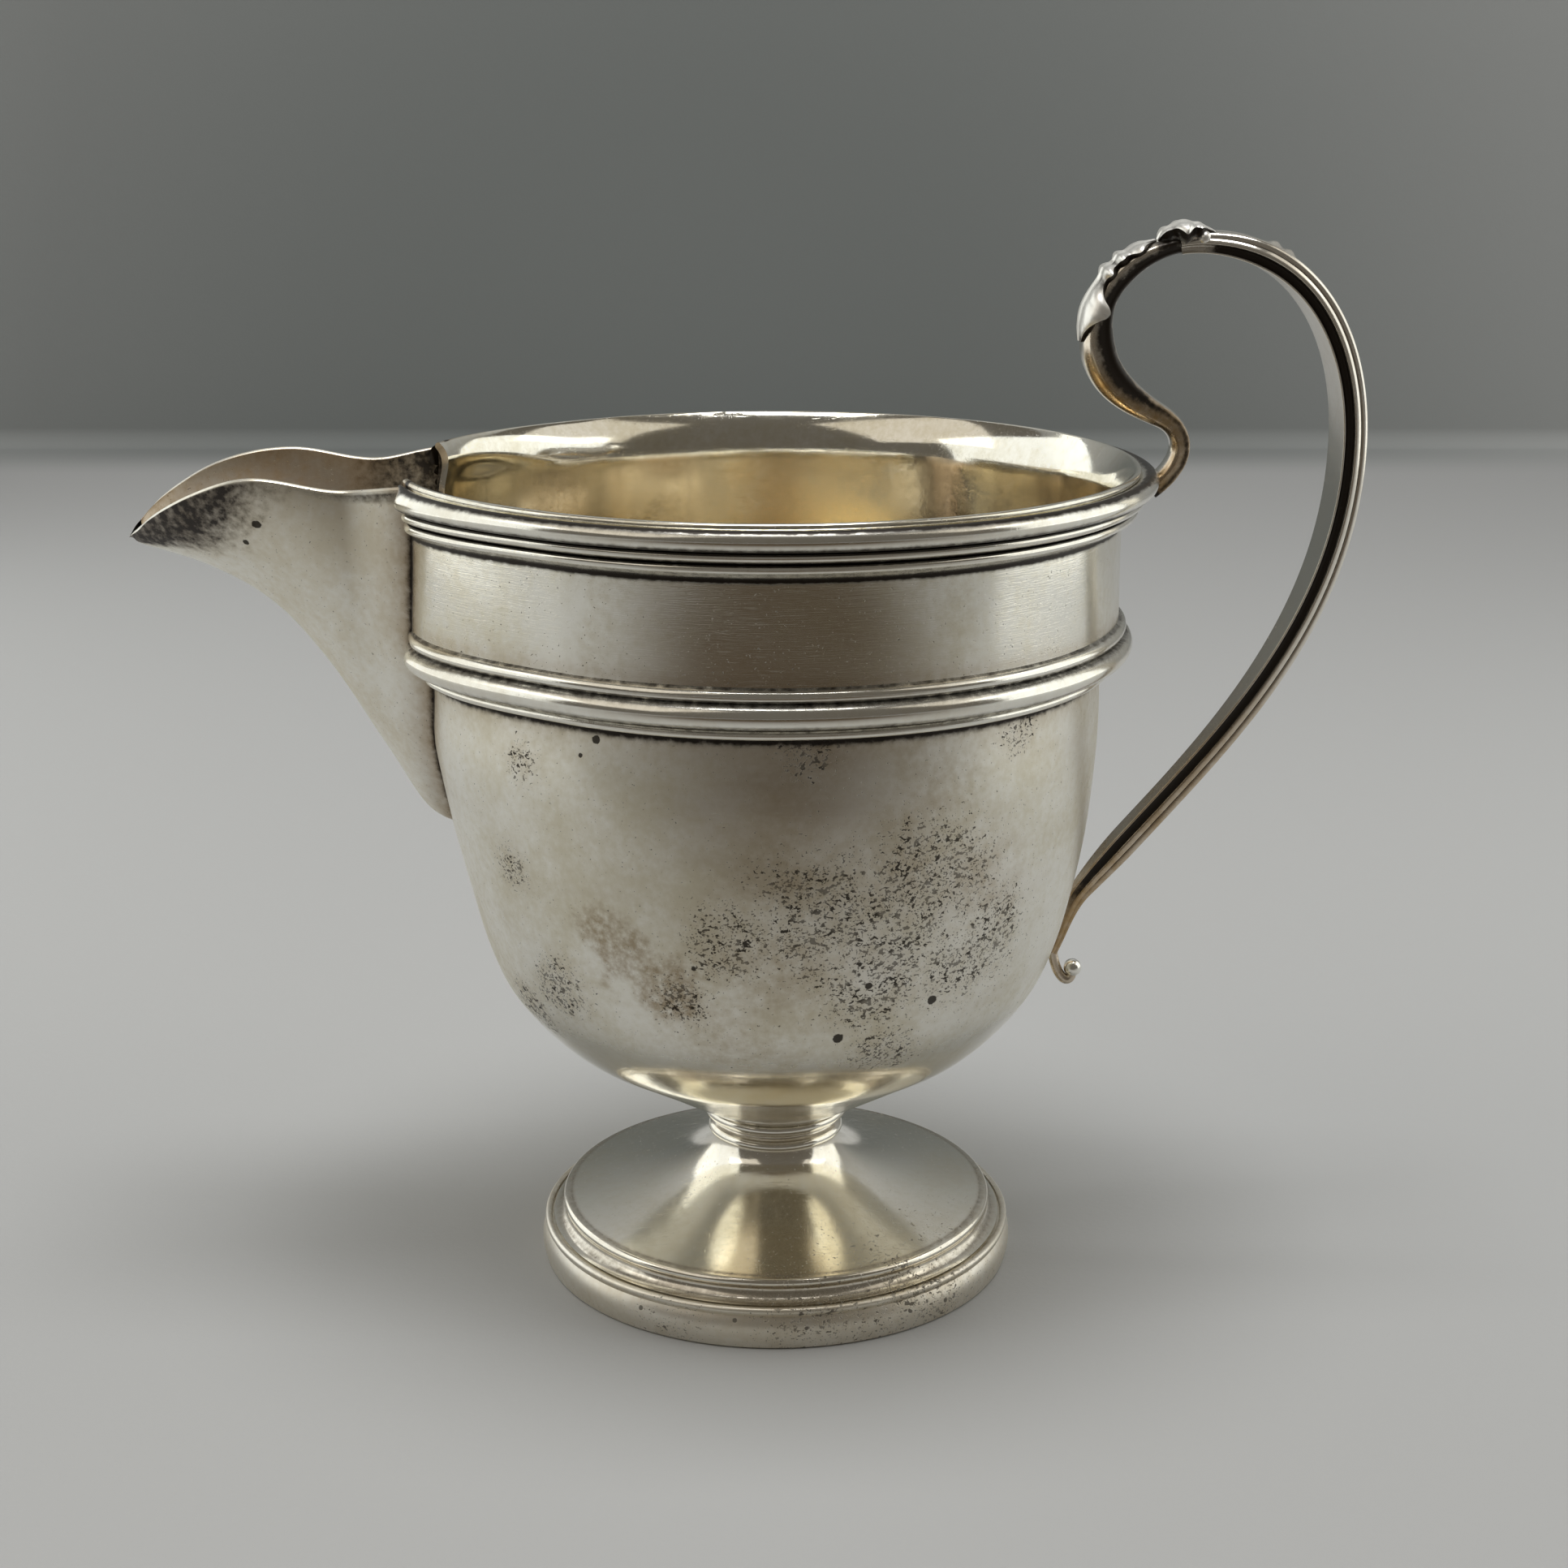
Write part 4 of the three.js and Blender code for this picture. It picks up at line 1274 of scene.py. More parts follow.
@dataclass
class Foot:
    """Collar, trumpet dome and base band."""

    bowl: BowlForm
    seam: float = 0.06
    collar_height: float = 3.0
    collar_bore: float = 4.0
    collar_cove: float = 6.0
    collar_bead: float = 0.6
    collar_step: float = 0.2
    neck_radius: float = 6.1
    neck_flare: float = 0.8
    band_radius: float = 23.7
    band_width: float = 1.8
    band_height: float = 4.15
    band_bead: float = 0.4
    band_ledge: float = 0.9
    band_draft: float = 0.2
    band_edge: float = 0.25
    band_bulge: float = 0.4
    dome_inset: float = 2.4
    dome_rise: float = 1.6
    dome_bead: float = 0.5
    dome_spread: float = 7.0
    dome_swell: float = 2.0
    neck_swell: float = 2.8
    flange_sheet: float = 0.3
    sheet: float = 0.7
    hand_waves: float = 0.03
    joint_gap: float = 0.02
    joint_lap: float = 0.1
    neck_gap: float = 0.15
    bead_end: Pair = (0.5, 0.87)
    cove_depth: float = 0.1
    # Darkness in the foot's hollows and at the dome's neck: tarnish and painted shade.
    dirt_and_shade: float = 0.75
    dirt_and_shade_margin: float = 0.4
    neck_dirt_and_shade: Pair = (0.35, 0.35)
    collar_hollow: Pair = (0.9, 2.4)
    dome_hollow: Pair = (0.9, 1.6)
    band_hollow: Pair = (0.8, 1.7)

    def collar_outline(self) -> Array:
        """Two beads with a cove between them.

        Returns:
            Closed outline as (radius, height).
        """
        top = self.bowl.seat_height - self.joint_gap
        foot = top - self.collar_height - self.joint_lap
        bead = self.collar_bead
        upper = (self.bowl.seat_radius - bead, top - bead)
        lower = (self.collar_cove + self.collar_step, foot + bead)
        out, up = (part * bead for part in self.bead_end)
        cove_radius = self.collar_cove - self.cove_depth
        cove = bezier([
            (lower[0] + out, lower[1] + up),
            (cove_radius, foot + self.collar_height * 0.48),
            (cove_radius, foot + self.collar_height * 0.52),
            (upper[0] + out, upper[1] - up),
        ], 12)
        return chain(
            [(self.collar_bore, foot)],
            arc(lower, bead, -90.0, 60.0, 12),
            cove,
            arc(upper, bead, -60.0, 90.0, 12),
            [(self.collar_bore, top)],
        )

    def dome_outline(self) -> Array:
        """Flange, cove, beaded edge and the trumpet's curve up to the neck, then back inside the sheet.

        Returns:
            Closed outline as (radius, height).
        """
        neck = self.bowl.seat_height - self.collar_height - self.neck_gap
        flange = self.band_height - self.band_bead + self.seam
        flange_radius = self.band_radius - self.band_ledge
        radius = self.band_radius - self.dome_inset
        height = self.band_height + self.dome_rise
        dome = bezier([
            (radius, height + self.dome_bead),
            (radius - self.dome_spread, height + self.dome_swell),
            (self.neck_radius + self.neck_flare, height + self.neck_swell),
            (self.neck_radius, neck),
        ], 60)
        out, up = (part * self.dome_bead for part in self.bead_end)
        cove = bezier([
            (flange_radius, flange + self.flange_sheet),
            (radius + out, flange + self.flange_sheet),
            (radius + self.cove_depth, height - self.dome_bead),
            (radius + out, height - up),
        ], 12)
        return chain(
            [(radius - self.sheet, flange), (flange_radius, flange)],
            cove,
            arc((radius, height), self.dome_bead, -60.0, 78.0, 14),
            dome,
            offset(dome, self.sheet)[::-1],
        )

    def band_outline(self) -> Array:
        """Upright band with a bead along its upper edge.

        Returns:
            Closed outline as (radius, height).
        """
        inner = self.band_radius - self.band_width
        ledge = self.band_height - self.band_bead
        edge = self.band_edge
        return chain(
            [(inner, 0.0)],
            arc((self.band_radius - edge, edge), edge, -90.0, 0.0, 8),
            bezier([
                (self.band_radius, edge),
                (self.band_radius + self.band_bulge, 0.35 * self.band_height),
                (self.band_radius + self.band_bulge, 0.55 * self.band_height),
                (self.band_radius - self.band_draft, self.band_height - 2.2 * self.band_bead),
            ], 14),
            arc((self.band_radius - self.band_bead, ledge), self.band_bead, -35.0, 130.0, 14),
            [(self.band_radius - self.band_ledge + self.band_draft, ledge), (inner, ledge)],
        )

    def _piece(self, node: str, outline: Array, hollow: Array, silver: Material, stain: float = 0.0,
               worn: float = 0.12) -> None:
        """Turns one piece and darkens its hollows with tarnish and painted shade.

        Args:
            node: Name of the CAD node.
            outline: Its closed outline.
            hollow: How hollow each point of the outline lies.
            silver: Its finish.
            stain: Least stain anywhere on it.
            worn: Wear all over it.
        """
        skin = lathe(outline, waves=self.hand_waves)
        around = len(skin.points) // len(outline)
        skin.marks[Mark.GRIME_AND_SHADE] = np.repeat(self.dirt_and_shade * hollow, around)
        skin.marks[Mark.STAIN] = np.repeat(np.maximum(stain, 0.5 * np.sqrt(hollow)), around)
        skin.marks[Mark.WORN] = np.full(len(skin.points), worn)
        make_piece(node, skin, silver)

    def build(self, silver: Material) -> None:
        """Makes the collar, the dome and the band.

        Args:
            silver: The finish of all three.
        """
        collar, dome, band = self.collar_outline(), self.dome_outline(), self.band_outline()
        edge = self.band_radius - self.dome_inset - self.dirt_and_shade_margin
        # Hollows of the dome and its neck under the collar darkened: tarnish and painted shade.
        dirt_and_shade = np.where(dome[:, 0] < edge, 0.0, hollow_of(dome, *self.dome_hollow))
        share, reach = self.neck_dirt_and_shade
        dirt_and_shade = np.maximum(dirt_and_shade, share * fade(dome[:, 1] - dome[:, 1].max(), reach))
        self._piece("neck_collar", collar, hollow_of(collar, *self.collar_hollow), silver)
        self._piece("foot_dome", dome, dirt_and_shade, silver)
        band_dirt = hollow_of(band, *self.band_hollow)
        self._piece("foot_band", band, band_dirt, silver, stain=0.14, worn=1.0)


@dataclass(frozen=True)
class Lobe:
    """One lobe of a cast leaf: its place and reach along the leaf, its spread around the bar and its lift."""

    at: float
    reach: float
    spread: float
    lift: float


@dataclass
class Handle:
    """Scroll, strap, leaves and tail curl, along curves in the jug's middle plane."""

    bowl: BowlForm
    rim_radius: float = 36.25
    reach: float = 18.13
    scroll_root: Pair = (-0.6, -2.6)
    scroll_bends: tuple[tuple[Pair, Pair, Pair], ...] = (
        ((3.1, 0.1), (2.8, 3.1), (-0.1, 4.5)),
        ((-3.1, 6.1), (-6.1, 8.0), (-6.1, 12.2)),
        ((-6.1, 16.2), (-3.2, 19.4), (1.2, 20.3)),
    )
    scroll_width: float = 3.6
    scroll_thickness: float = 1.9
    scroll_swell: Pair = (2.4, 1.4)
    scroll_thinning: float = 0.6
    strap_start: Pair = (1.25, 20.33)
    strap_crest: tuple[Pair, Pair] = ((10.8, 21.75), (18.17, 14.45))
    strap_turn: float = 1.5
    strap_sweep: float = -18.5
    strap_approach: float = math.radians(52.4)
    strap_approach_length: float = 14.3
    strap_contact_drop: float = 42.65
    strap_end_drop: float = 49.3
    strap_width: float = 7.3
    strap_narrowing: float = 0.63
    strap_thickness: float = 2.4
    strap_stand_off: float = 1.35
    solder_gap: float = 0.2
    tail_thickness: float = 1.1
    tail_wire: float = 0.5
    tail_ball: float = 0.9
    tail_drop: float = 2.9
    tail_reach: float = 2.2
    tail_turn: float = 0.9
    tail_overlap: float = 0.3
    leaf_run: Pair = (0.6, 0.94)
    leaf_spread: float = math.radians(42)
    leaf_edge: float = 0.22
    leaf_rib: float = 0.22
    leaf_sink: float = 0.0
    leaf_shade: float = 1.0
    leaf_lobes: tuple[Lobe, ...] = (
        Lobe(0.24, 0.18, math.radians(72), 1.15), Lobe(0.56, 0.05, math.radians(26), 1.1),
        Lobe(0.7, 0.045, math.radians(22), 1.0), Lobe(0.85, 0.08, math.radians(45), 0.9),
    )
    crest_size: Pair = (4.2, 0.9)
    crest_sink: float = 1.2
    crest_shade: float = 0.3
    crest_lobes: tuple[Lobe, ...] = (
        Lobe(0.14, 0.08, math.radians(20), 0.5), Lobe(0.44, 0.15, math.radians(50), 0.95),
        Lobe(0.7, 0.07, math.radians(25), 0.6),
    )
    crest_bead: Quad = (3.4, 1.7, 20.95, 0.66)
    knobs: Pair = (0.098, 0.114)
    knob_rise: float = 0.45
    knob_reach: float = 0.006
    crest_start: Pair = (-0.3, 20.4)
    crest_bend: tuple[Pair, Pair, Pair] = ((0.3, 21.55), (2.2, 21.75), (4.4, 20.9))
    bar_power: float = 0.75
    flute: float = 0.14
    scroll_length: float = 35.0
    bend_points: int = 200
    curve_steps: int = 4000
    scroll_rows: int = 150
    scroll_around: int = 64
    strap_rows: int = 320
    leaf_rows: int = 190
    leaf_columns: int = 61
    crest_rows: int = 120
    tail_rows: int = 48
    tail_around: int = 28

    def curve(self, start: Pair, bends: Sequence[Sequence[Pair]], count: int,
              share: Pair = (0.0, 1.0)) -> Array:
        """Bezier bends given beyond the rim wire and above the rim, at equal steps of length.

        Args:
            start: First point.
            bends: Three control points for each bend.
            count: Number of points.
            share: Part of the whole length that is kept.

        Returns:
            Points as (x, z).
        """
        lines = []
        at = start
        for first, second, end in bends:
            lines.append(bezier([at, first, second, end], self.bend_points))
            at = end
        steps = self.curve_steps
        line = resample(chain(*lines), steps + 1) + np.array([self.rim_radius, self.bowl.rim_height])
        low, high = (int(round(steps * part)) for part in share)
        return resample(line[low:high + 1], count)

    def on_wall(self, drop: float, off: float) -> Pair:
        """Place that stands off the bowl at a drop below the rim."""
        radius = float(self.bowl.radius_at(self.bowl.rim_height - drop))
        return (radius + self.solder_gap + off - self.rim_radius, -drop)

    def strap_bends(self) -> list[list[Pair]]:
        """Bends of the strap: over the crest, down the sweep and along the bowl.

        Returns:
            Three control points for each bend.
        """
        touch = self.on_wall(self.strap_contact_drop, self.strap_stand_off)
        cos, sin = math.cos(self.strap_approach), math.sin(self.strap_approach)

        def along(length: float) -> Pair:
            """Place on the straight line through the contact."""
            return (touch[0] - length * cos, touch[1] - length * sin)

        low_drop = self.strap_end_drop + (self.strap_contact_drop - self.strap_end_drop) / 3.0
        return [
            [*self.strap_crest, (self.reach, self.strap_turn)],
            [(self.reach, self.strap_sweep), along(-self.strap_approach_length), touch],
            [along(self.strap_thickness), self.on_wall(low_drop, 0.7 * self.tail_thickness),
             self.on_wall(self.strap_end_drop, self.tail_thickness / 2.0)],
        ]

    def strap_path(self) -> Array:
        """Path of the strap from the crest to its end on the bowl."""
        return self.curve(self.strap_start, self.strap_bends(), self.strap_rows)

    def scroll_size(self, t: Array) -> tuple[Array, Array]:
        """Size of the scroll along its length.

        Args:
            t: Places from 0 at the rim to 1 at the crest.

        Returns:
            Widths and thicknesses.
        """
        swell = smoothstep(t, 0.2, 0.5) - 0.75 * smoothstep(t, 0.55, 0.75)
        thin = self.scroll_thinning * smoothstep(t, 0.8, 1.0)
        width = self.scroll_width + self.scroll_swell[0] * swell
        return width, self.scroll_thickness + self.scroll_swell[1] * swell - thin

    def strap_size(self, t: Array) -> tuple[Array, Array]:
        """Size of the strap along its length.

        Args:
            t: Places from 0 at the crest to 1 at the end on the bowl.

        Returns:
            Widths and thicknesses.
        """
        start = smoothstep(t, 0.0, 0.1)
        end = smoothstep(t, 0.84, 1.0)
        narrow = 1.0 - self.strap_narrowing * smoothstep(t, 0.25, 0.8)
        width = self.strap_width * (0.55 + 0.45 * start) * narrow
        thickness = self.strap_thickness * (0.72 + 0.28 * start)
        width = width + (self.tail_thickness - width) * end
        return width, thickness + (self.tail_thickness - thickness) * end

    def scroll_skin(self) -> Skin:
        """Rounded bar: y = w |cos a|^p and n = h |sin a|^p, with a shallow flute along each side.

        Returns:
            The skin.
        """
        run = np.linspace(0.0, 1.0, self.scroll_rows)
        path = self.curve(self.scroll_root, self.scroll_bends, self.scroll_rows)
        width, thickness = self.scroll_size(run)
        angle = circle(self.scroll_around)
        cos, sin = np.cos(angle), np.sin(angle)
        aside = np.abs(cos)
        hollow = hump(sin, -0.25, 0.36) * smoothstep(aside, 0.35, 0.65)
        across = 0.5 * width[:, None] * signed_power(cos, self.bar_power) * (1.0 - self.flute * hollow)
        out = 0.5 * thickness[:, None] * signed_power(sin, self.bar_power)
        skin = sweep(path, np.stack([across, out], axis=-1))
        t = run[:, None]
        stain = 0.8 * smoothstep(aside, 0.2, 0.7) * (1.0 - 0.6 * smoothstep(t, 0.45, 0.6))
        root = fade(self.scroll_length * t, 1.2)
        side = smoothstep(aside, 0.2, 0.5)
        end = 0.8 * smoothstep(t, 0.9, 0.96) * side
        # Painted shade along the fluted sides, deeper up the scroll; the root is dark where it meets the rim,
        # and the sides are darkened near the crest.
        dirt_and_shade = hump(sin, -0.4, 0.5) * side * (0.55 + 0.7 * smoothstep(t, 0.25, 0.5))
        grime_and_shade = np.maximum(dirt_and_shade, np.maximum(root, end))
        skin.marks = {Mark.GRIME_AND_SHADE: grime_and_shade.ravel(), Mark.STAIN: stain.ravel()}
        return skin

    def strap_outline(self) -> tuple[Array, Array]:
        """Section of the strap at half width 1 and half thickness 1, and how hollow each point lies.

        The inner face is flat, each edge has a small bead, a hollow and a reed, and the outer face has a reed
        at each side of a low rib.

        Returns:
            Section points as (across, outwards), and hollows from 0 to 1.
        """
        half = chain(
            [(0.0, -1.0), (0.5, -1.0)],
            bezier([(0.94, -1.0), (1.0, -1.0), (1.0, -0.94), (0.99, -0.86)], 8),
            bezier([(0.97, -0.85), (0.83, -0.74), (0.83, -0.22), (0.95, -0.1)], 16),
            bezier([(0.98, -0.08), (1.02, 0.0), (0.97, 0.3), (0.9, 0.43)], 12),
            bezier([(0.885, 0.46), (0.92, 0.62), (0.88, 0.97), (0.76, 1.0)], 10),
            bezier([(0.7, 1.0), (0.62, 0.98), (0.6, 0.87), (0.54, 0.85)], 8),
            bezier([(0.5, 0.85), (0.45, 0.87), (0.42, 1.0), (0.34, 1.0)], 8),
            [(0.25, 1.0), (0.17, 1.0), (0.08, 1.0), (0.0, 1.0)],
        )
        across, out = half.T
        side = plateau(out, -0.88, -0.8, -0.16, -0.08) * (across > 0.78)
        line = hump(out, 0.445, 0.04) * (across > 0.8)
        groove = hump(across, 0.52, 0.06) * (out > 0.5)
        hollow = np.maximum(np.maximum(side, 0.8 * line), 0.9 * groove)
        mirror = (half * np.array([-1.0, 1.0]))[::-1][1:-1]
        return np.concatenate([half, mirror]), np.concatenate([hollow, hollow[::-1][1:-1]])

    def strap_skin(self) -> Skin:
        """The reeded strap, with two small knobs on its outer face after the crest.

        Returns:
            The skin.
        """
        t = np.linspace(0.0, 1.0, self.strap_rows)
        width, thickness = self.strap_size(t)
        outline, hollow = self.strap_outline()
        across, out = outline.T
        rib = smoothstep(out, 0.9, 1.0) * (1.0 - smoothstep(np.abs(across), 0.1, 0.45))
        knobs = sum(hump(t, at, self.knob_reach) for at in self.knobs)
        rise = 0.5 * thickness[:, None] * out + self.knob_rise * knobs[:, None] * rib
        skin = sweep(self.strap_path(), np.stack([0.5 * width[:, None] * across, rise], axis=-1))
        end = (1.0 - smoothstep(t, 0.86, 1.0))[:, None]
        start = (0.3 + 0.7 * smoothstep(t, 0.02, 0.05))[:, None]
        # Side hollows and grooves darkened with tarnish and painted shade, lighter at the start and fading
        # out at the end.
        grime_and_shade = hollow * end * start
        stain = 0.12 + 0.5 * smoothstep(t, 0.5, 0.75) + 0.15 * smoothstep(t, 0.8, 0.92)
        skin.marks = {Mark.GRIME_AND_SHADE: grime_and_shade.ravel(), Mark.STAIN: np.repeat(stain, len(outline))}
        return skin

    def leaf_skin(self, path: Array, width: Array, thickness: Array, lobes: Sequence[Lobe], sink: float,
                  shade: float) -> Skin:
        """Cast leaf wrapped over the outer side of a bar.

        Across the leaf a runs from -1 to 1 and stands at the angle f = a * spread around the bar. The point
        is the bar's section (w |sin f|^p, h |cos f|^p) lifted along (sin f, cos f). Each lobe adds to the
        spread and to the lift as e^-((run - at) / reach)^2, a rib runs along a = 0 and veins slant back.

        Args:
            path: Path that the leaf follows.
            width: Width of the bar at each place.
            thickness: Thickness of the bar at each place.
            lobes: The leaf's lobes.
            sink: How far its under side lies below the bar's own skin.
            shade: How dark its under side is.

        Returns:
            The skin.
        """
        count, wide = len(path), self.leaf_columns
        run = np.linspace(0.0, 1.0, count)[:, None]
        a = np.linspace(1.0, -1.0, wide)[None, :]
        aside = np.abs(a)
        blade = np.sin(np.pi * (0.04 + 0.92 * run)) ** 0.4
        bumps = [hump(run, lobe.at, lobe.reach) for lobe in lobes]
        spread = self.leaf_spread + sum(lobe.spread * bump for lobe, bump in zip(lobes, bumps))
        puff = 0.28 + 0.72 * smoothstep(aside, 0.05, 0.9)
        lift = self.leaf_edge + self.leaf_rib * hump(a, 0.0, 0.12)
        lift = lift + puff * sum(lobe.lift * bump for lobe, bump in zip(lobes, bumps))
        vein = np.cos(2.0 * np.pi * (7.0 * run + 0.9 * aside)) * smoothstep(aside, 0.1, 0.35)
        lift = blade * (lift + 0.03 * vein)
        angle = a * spread * blade
        sin, cos = np.sin(angle), np.cos(angle)
        across = 0.5 * width[:, None] * signed_power(sin, self.bar_power)
        out = 0.5 * thickness[:, None] * signed_power(cos, self.bar_power)
        top = np.stack([across + lift * sin, out + lift * cos], axis=-1)
        low = np.stack([0.82 * across, 0.82 * out - sink * blade], axis=-1)
        skin = sweep(path, np.concatenate([top, low[:, ::-1]], axis=1))
        # Painted shade between the lobes, in the veins and along the edges, and painted shade on the under
        # side.
        between = (1.0 - np.clip(1.4 * sum(bumps), 0.0, 1.0)) * smoothstep(aside, 0.12, 0.4)
        groove = smoothstep(-vein, 0.5, 0.95) * smoothstep(aside, 0.2, 0.5)
        dark = np.maximum(np.maximum(0.85 * between, 0.25 * groove), smoothstep(aside, 0.97, 1.0))
        grime_and_shade = np.concatenate([dark, np.full((count, wide), shade)], axis=1)
        skin.marks = {Mark.GRIME_AND_SHADE: grime_and_shade.ravel()}
        return skin

    def tail_skin(self) -> Skin:
        """Round wire that leaves the strap's end and curls up into a ball.

        Returns:
            The skin.
        """
        path = self.strap_path()
        along = path[-1] - path[-2]
        along = along / np.linalg.norm(along)
        start = path[-1] - self.tail_overlap * along
        x, z = path[-1]
        bottom = z - self.solder_gap - self.tail_drop
        end = (x + self.tail_reach, bottom + self.tail_turn + self.tail_ball / 2.0)
        bends = [tuple(start), (x + self.tail_wire, bottom), (end[0], bottom - self.tail_turn), end]
        line = resample(bezier(bends, self.bend_points), self.tail_rows)
        angle = circle(self.tail_around)
        ring = self.tail_wire * np.stack([np.cos(angle), np.sin(angle)], axis=-1)
        wire = sweep(line, np.broadcast_to(ring, (self.tail_rows, self.tail_around, 2)))
        wire.marks = {Mark.STAIN: np.full(len(wire.points), 0.5)}
        return join(wire, ball((end[0], 0.0, end[1]), self.tail_ball))

    def build(self, aged: Material, cast: Material) -> None:
        """Makes the five pieces of the handle.

        Args:
            aged: Finish of the scroll, the strap and the tail.
            cast: Finish of the leaves.
        """
        make_piece("handle_scroll", self.scroll_skin(), aged)
        make_piece("handle_strap", self.strap_skin(), aged)
        path = self.curve(self.scroll_root, self.scroll_bends, self.leaf_rows, self.leaf_run)
        size = self.scroll_size(np.linspace(*self.leaf_run, self.leaf_rows))
        leaf = self.leaf_skin(path, *size, self.leaf_lobes, self.leaf_sink, self.leaf_shade)
        make_piece("handle_leaf", leaf, cast)
        path = self.curve(self.crest_start, [self.crest_bend], self.crest_rows)
        size = (np.full(self.crest_rows, length) for length in self.crest_size)
        crest = self.leaf_skin(path, *size, self.crest_lobes, self.crest_sink, self.crest_shade)
        x, y, z, radius = self.crest_bead
        x, z = self.rim_radius + x, self.bowl.rim_height + z
        beads = [ball((x, side * y, z), radius) for side in (-1.0, 1.0)]
        make_piece("crest_leaf", join(crest, *beads), cast)
        make_piece("handle_tail", self.tail_skin(), aged)


# Studio


@dataclass(frozen=True)
class Softbox:
    """A rectangular lamp: its place, size and power, aimed at the jug."""

    name: str
    place: Triple
    width: float
    height: float
    power: float
    colour: Triple = (1.0, 1.0, 1.0)


@dataclass
class Studio:
    """Paper sweep, soft lamps, plain world and the camera."""

    lens_mm: float = 59.02
    camera_place: Triple = (0.0040, -0.2434, 0.11867)
    camera_tilt: float = 15.97
    paper_colour: Triple = (0.45, 0.455, 0.455)
    # Painted shade: the floor a little darker towards the back.
    far_shade_colour: Triple = (0.42, 0.425, 0.425)
    # Painted shade on the floor in front of the jug, seen only in reflections.
    front_shade_colour: Triple = (0.08, 0.058, 0.036)
    front_place: Triple = (0.02, -0.36, 0.0)
    front_stretch: Triple = (0.92, 1.0, 1.0)
    front_reach: Pair = (0.36, 0.13)
    # The upright paper is painted: dark shade behind the jug, paler towards the sides.
    wall_shade_colour: Triple = (0.204, 0.218, 0.214)
    wall_side_light_colour: Triple = (0.6, 0.61, 0.61)
    wall_middle: Triple = (-0.03, 0.55, 0.03)
    wall_reach: Pair = (0.06, 0.55)
    fold_place: float = 0.545
    fold_radius: float = 0.006
    fold_fade: float = 0.05
    far_reach: Pair = (0.1, 0.5)
    paper_drop: float = 0.00003
    paper_front: float = -1.4
    paper_top: float = 0.9
    paper_side: float = 1.5
    paper_roughness: float = 0.9
    paper_shine: float = 0.2
    grain_size: float = 0.8
    grain_relief: Pair = (0.15, 0.0002)
    near_clip: float = 0.01
    sensor_mm: float = 36.0
    world_colour: Triple = (0.95, 0.87, 0.75)
    beyond_colour: Triple = (0.95, 0.97, 0.97)
    world_strength: float = 0.13
    aim: Triple = (0.0, 0.0, 0.1)
    lamps: tuple[Softbox, ...] = (
        Softbox("left_softbox", (-0.33, 0.1, 0.17), 0.54, 0.33, 0.54, (0.98, 1.0, 0.97)),
        Softbox("right_softbox", (0.34, 0.05, 0.17), 0.36, 0.33, 0.4, (0.98, 1.0, 0.97)),
        Softbox("top_softbox", (0.0, -0.07, 1.3), 0.65, 0.5, 9.5),
        Softbox("left_fill", (-0.62, -0.32, 0.75), 0.9, 0.7, 1.2, (1.0, 0.93, 0.82)),
        Softbox("right_fill", (0.75, -0.15, 0.8), 0.7, 0.6, 0.8, (1.0, 0.95, 0.86)),
    )

    def paper(self) -> None:
        """Lays the paper sweep: flat on the table, then up in a quarter round, carried straight across."""
        radius, back, low = self.fold_radius, self.fold_place, -self.paper_drop
        curve = arc((back, radius + low), radius, -90.0, 0.0, 12)
        line = chain([(self.paper_front, low), (back, low)], curve, [(back + radius, self.paper_top)])
        across = np.linspace(-self.paper_side, self.paper_side, 3)[None, :]
        points = np.stack(np.broadcast_arrays(across, line[:, :1], line[:, 1:]), axis=-1)
        mesh = bpy.data.meshes.new("paper_sweep")
        mesh.from_pydata(points.reshape(-1, 3).tolist(), [], quads(len(line), 3).tolist())
        mesh.shade_smooth()
        mesh.materials.append(self._paper_material())
        sheet = add_object("paper_sweep", mesh)

    def _paper_material(self) -> Material:
        """Grey paper with painted shade: a dark patch in front, hidden from the camera and seen only in
        reflections, a floor a little darker towards the back, and a wall painted darkest behind the jug.

        Returns:
            The material.
        """
        made, s = new_material("grey_paper")
        place = s.place()
        depth = s.node("ShaderNodeSeparateXYZ", {}, {"Vector": place}, "Y")
        front = s.distance(s.stretched(place, self.front_stretch), self.front_place)
        aside = s.distance(place, self.wall_middle)
        # Painted shade: the floor darkens a little towards the back.
        tone = s.blend(depth.ease(*self.far_reach), rgba(self.paper_colour), rgba(self.far_shade_colour))
        # The dark front patch is painted shade, hidden from the camera and seen only in reflections.
        unseen = 1.0 - s.node("ShaderNodeLightPath", {}, {}, "Is Camera Ray")
        tone = s.blend(front.ease(*self.front_reach) * unseen, tone, rgba(self.front_shade_colour))
        # Painted shade on the upright paper, darkest behind the jug and paler towards the sides.
        wall = s.blend(aside.ease(*self.wall_reach), rgba(self.wall_shade_colour), rgba(self.wall_side_light_colour))
        tone = s.blend(depth.ease(self.fold_place - self.fold_fade, self.fold_place), tone, wall)
        bump = s.bump(s.noise(place, self.grain_size, 3.0, 0.6), *self.grain_relief)
        dull = {"Roughness": self.paper_roughness, "Specular IOR Level": self.paper_shine}
        s.surface({"Base Color": tone, "Normal": bump, **dull})
        return made

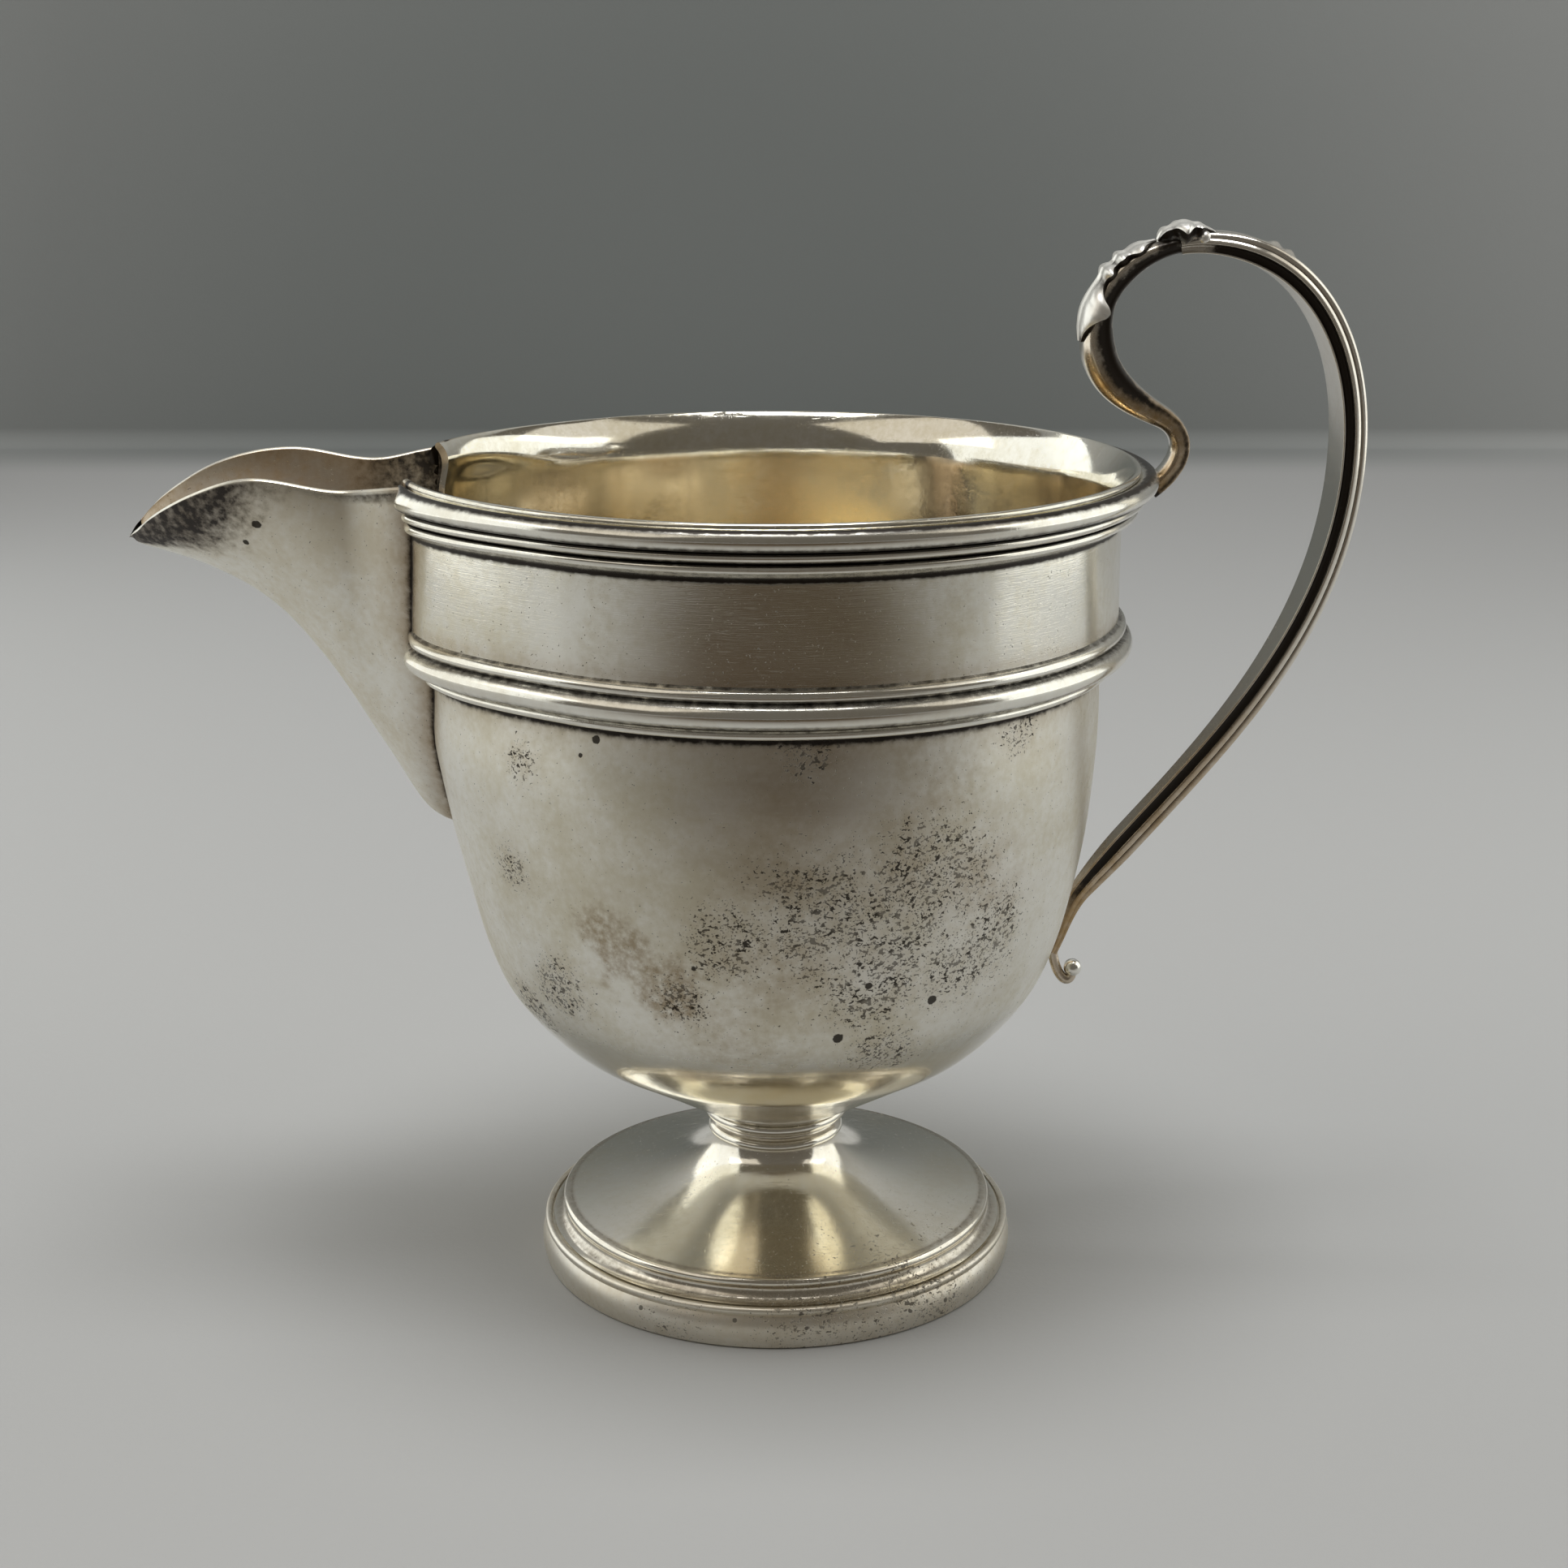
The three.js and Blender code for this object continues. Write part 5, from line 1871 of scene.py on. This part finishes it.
    def light(self) -> None:
        """Hangs the softboxes and sets a plain world."""
        for box in self.lamps:
            lamp = bpy.data.lights.new(box.name, "AREA")
            lamp.shape = "RECTANGLE"
            lamp.size, lamp.size_y = box.width, box.height
            lamp.energy = box.power
            lamp.color = box.colour
            holder = add_object(box.name, lamp)
            holder.location = box.place
            look = Vector(self.aim) - Vector(box.place)
            holder.rotation_euler = look.to_track_quat("-Z", "Y").to_euler()
        world = bpy.data.worlds.new("plain_world")
        world.use_nodes = True
        s = Shader(world.node_tree)
        seen = s.node("ShaderNodeLightPath", {}, {}, "Is Camera Ray")
        colour = s.blend(seen, rgba(self.world_colour), rgba(self.beyond_colour))
        sockets = {"Color": colour, "Strength": self.world_strength}
        s.node("ShaderNodeOutputWorld", {}, {"Surface": s.node("ShaderNodeBackground", {}, sockets)})
        bpy.context.scene.world = world

    def camera(self) -> None:
        """Places the camera where the photograph was taken from."""
        lens = bpy.data.cameras.new("camera")
        lens.sensor_width = self.sensor_mm
        lens.lens = self.lens_mm
        lens.clip_start = self.near_clip
        holder = add_object("camera", lens)
        holder.location = self.camera_place
        holder.rotation_euler = (math.radians(90.0 - self.camera_tilt), 0.0, 0.0)
        bpy.context.scene.camera = holder
        bpy.context.scene.view_settings.view_transform = "Standard"

    def build(self) -> None:
        """Sets up the whole studio."""
        self.paper()
        self.light()
        self.camera()


# Finishes of the jug


BELLY_WEAR = Wear(
    pitted=(
        ((14.0, -27.4, 47.5), 12.0), ((4.0, -30.4, 45.5), 11.0), ((18.0, -23.7, 40.8), 11.0),
        ((9.1, -28.0, 39.3), 9.0), ((-3.9, -30.0, 43.1), 7.0), ((9.7, -24.1, 30.0), 6.0),
        ((-19.8, -20.4, 35.7), 6.0), ((-22.4, -14.4, 31.0), 6.0), ((-8.3, -27.4, 36.4), 5.0),
        ((-23.4, -19.6, 47.0), 4.0), ((-22.1, -22.2, 57.2), 3.5), ((3.0, -31.0, 61.5), 5.0),
        ((21.7, -22.6, 60.7), 4.0),
    ),
    smoked=(
        ((0.4, -31.0, 50.0), 9.0), ((10.3, -29.3, 51.0), 8.0), ((19.2, -24.4, 47.0), 8.0),
        ((1.0, -31.2, 57.0), 8.0), ((5.3, -30.8, 61.0), 6.0), ((14.0, -28.0, 58.0), 8.0),
        ((-0.5, -29.5, 39.8), 9.0), ((-4.0, -27.0, 32.0), 9.0),
    ),
    patched=(((-14.0, -26.2, 41.0), 7.5), ((-9.8, -27.2, 37.5), 7.0)),
    spotted=(
        ((5.7, -27.0, 32.9), 1.1), ((14.2, -24.6, 35.7), 1.0), ((8.4, -27.9, 38.3), 0.7),
        ((-7.1, -28.8, 40.4), 0.7), ((-15.5, -27.2, 60.8), 0.8), ((-23.3, -20.8, 55.0), 0.6),
        ((-25.6, -17.3, 48.7), 0.6), ((-21.7, -22.1, 50.6), 0.5), ((-16.9, -26.3, 59.2), 0.5),
        ((-23.6, -19.1, 44.6), 0.55), ((-23.2, -18.8, 42.0), 0.55),
    ),
)
FOOT_WEAR = Wear(
    pitted=(
        ((5.0, -28.0, 3.0), 11.0), ((-13.0, -26.0, 3.0), 10.0), ((21.0, -22.0, 3.0), 8.0),
        ((20.0, -30.0, 9.0), 30.0),
    ),
    spotted=(
        ((3.0, -23.6, 2.2), 0.5), ((-12.9, -20.1, 2.5), 0.5), ((-3.8, -23.4, 2.9), 0.45),
        ((16.5, -17.4, 1.9), 0.5),
    ),
)
SPOUT_WEAR = Wear(spotted=(((-47.8, -8.8, 76.4), 0.9), ((-49.2, -7.4, 74.5), 0.6)))
SATIN = Silver(
    "satin_silver", patina_colour=(0.6, 0.53, 0.34), roughness=0.08, satin=0.24, gilt_roughness=0.15,
    turning=0.18, patina=0.58, smoke=0.38, pits=1.0, ripple=1.6, wear=BELLY_WEAR,
)
SPOUT_SILVER = Silver(
    "spout_silver", patina_colour=(0.66, 0.57, 0.38), stain_colour=(0.32, 0.2, 0.09), roughness=0.34,
    patina=0.55, pits=1.0, wear=SPOUT_WEAR,
)
BRIGHT = Silver("bright_silver", roughness=0.15, patina=0.4)
FOOT_SILVER = Silver(
    "foot_silver", colour=(0.93, 0.905, 0.825), patina_colour=(0.74, 0.66, 0.49), roughness=0.09,
    satin=0.26, unevenness=0.1, patina=0.5, turning=0.1, pits=0.8, wear=FOOT_WEAR,
)
CAST = Silver("cast_silver", colour=(0.97, 0.96, 0.92), roughness=0.38, patina=0.1)
AGED = Silver(
    "aged_silver", colour=(0.92, 0.9, 0.84), stain_colour=(0.42, 0.27, 0.11), roughness=0.18, patina=0.3,
)


def main() -> None:
    """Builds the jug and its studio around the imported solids."""
    logging.basicConfig(level=logging.INFO, format="%(name)s %(message)s")
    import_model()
    bowl = BowlForm()
    form = SpoutForm(bowl)
    satin, spout_silver = SATIN.material(), SPOUT_SILVER.material()
    bright, foot_silver = BRIGHT.material(), FOOT_SILVER.material()
    aged, cast = AGED.material(), CAST.material()
    Body(bowl, form).build(satin, bright)
    Spout(form).build(spout_silver)
    Foot(bowl).build(foot_silver)
    Handle(bowl).build(aged, cast)
    Studio().build()


if __name__ == "__main__":
    main()
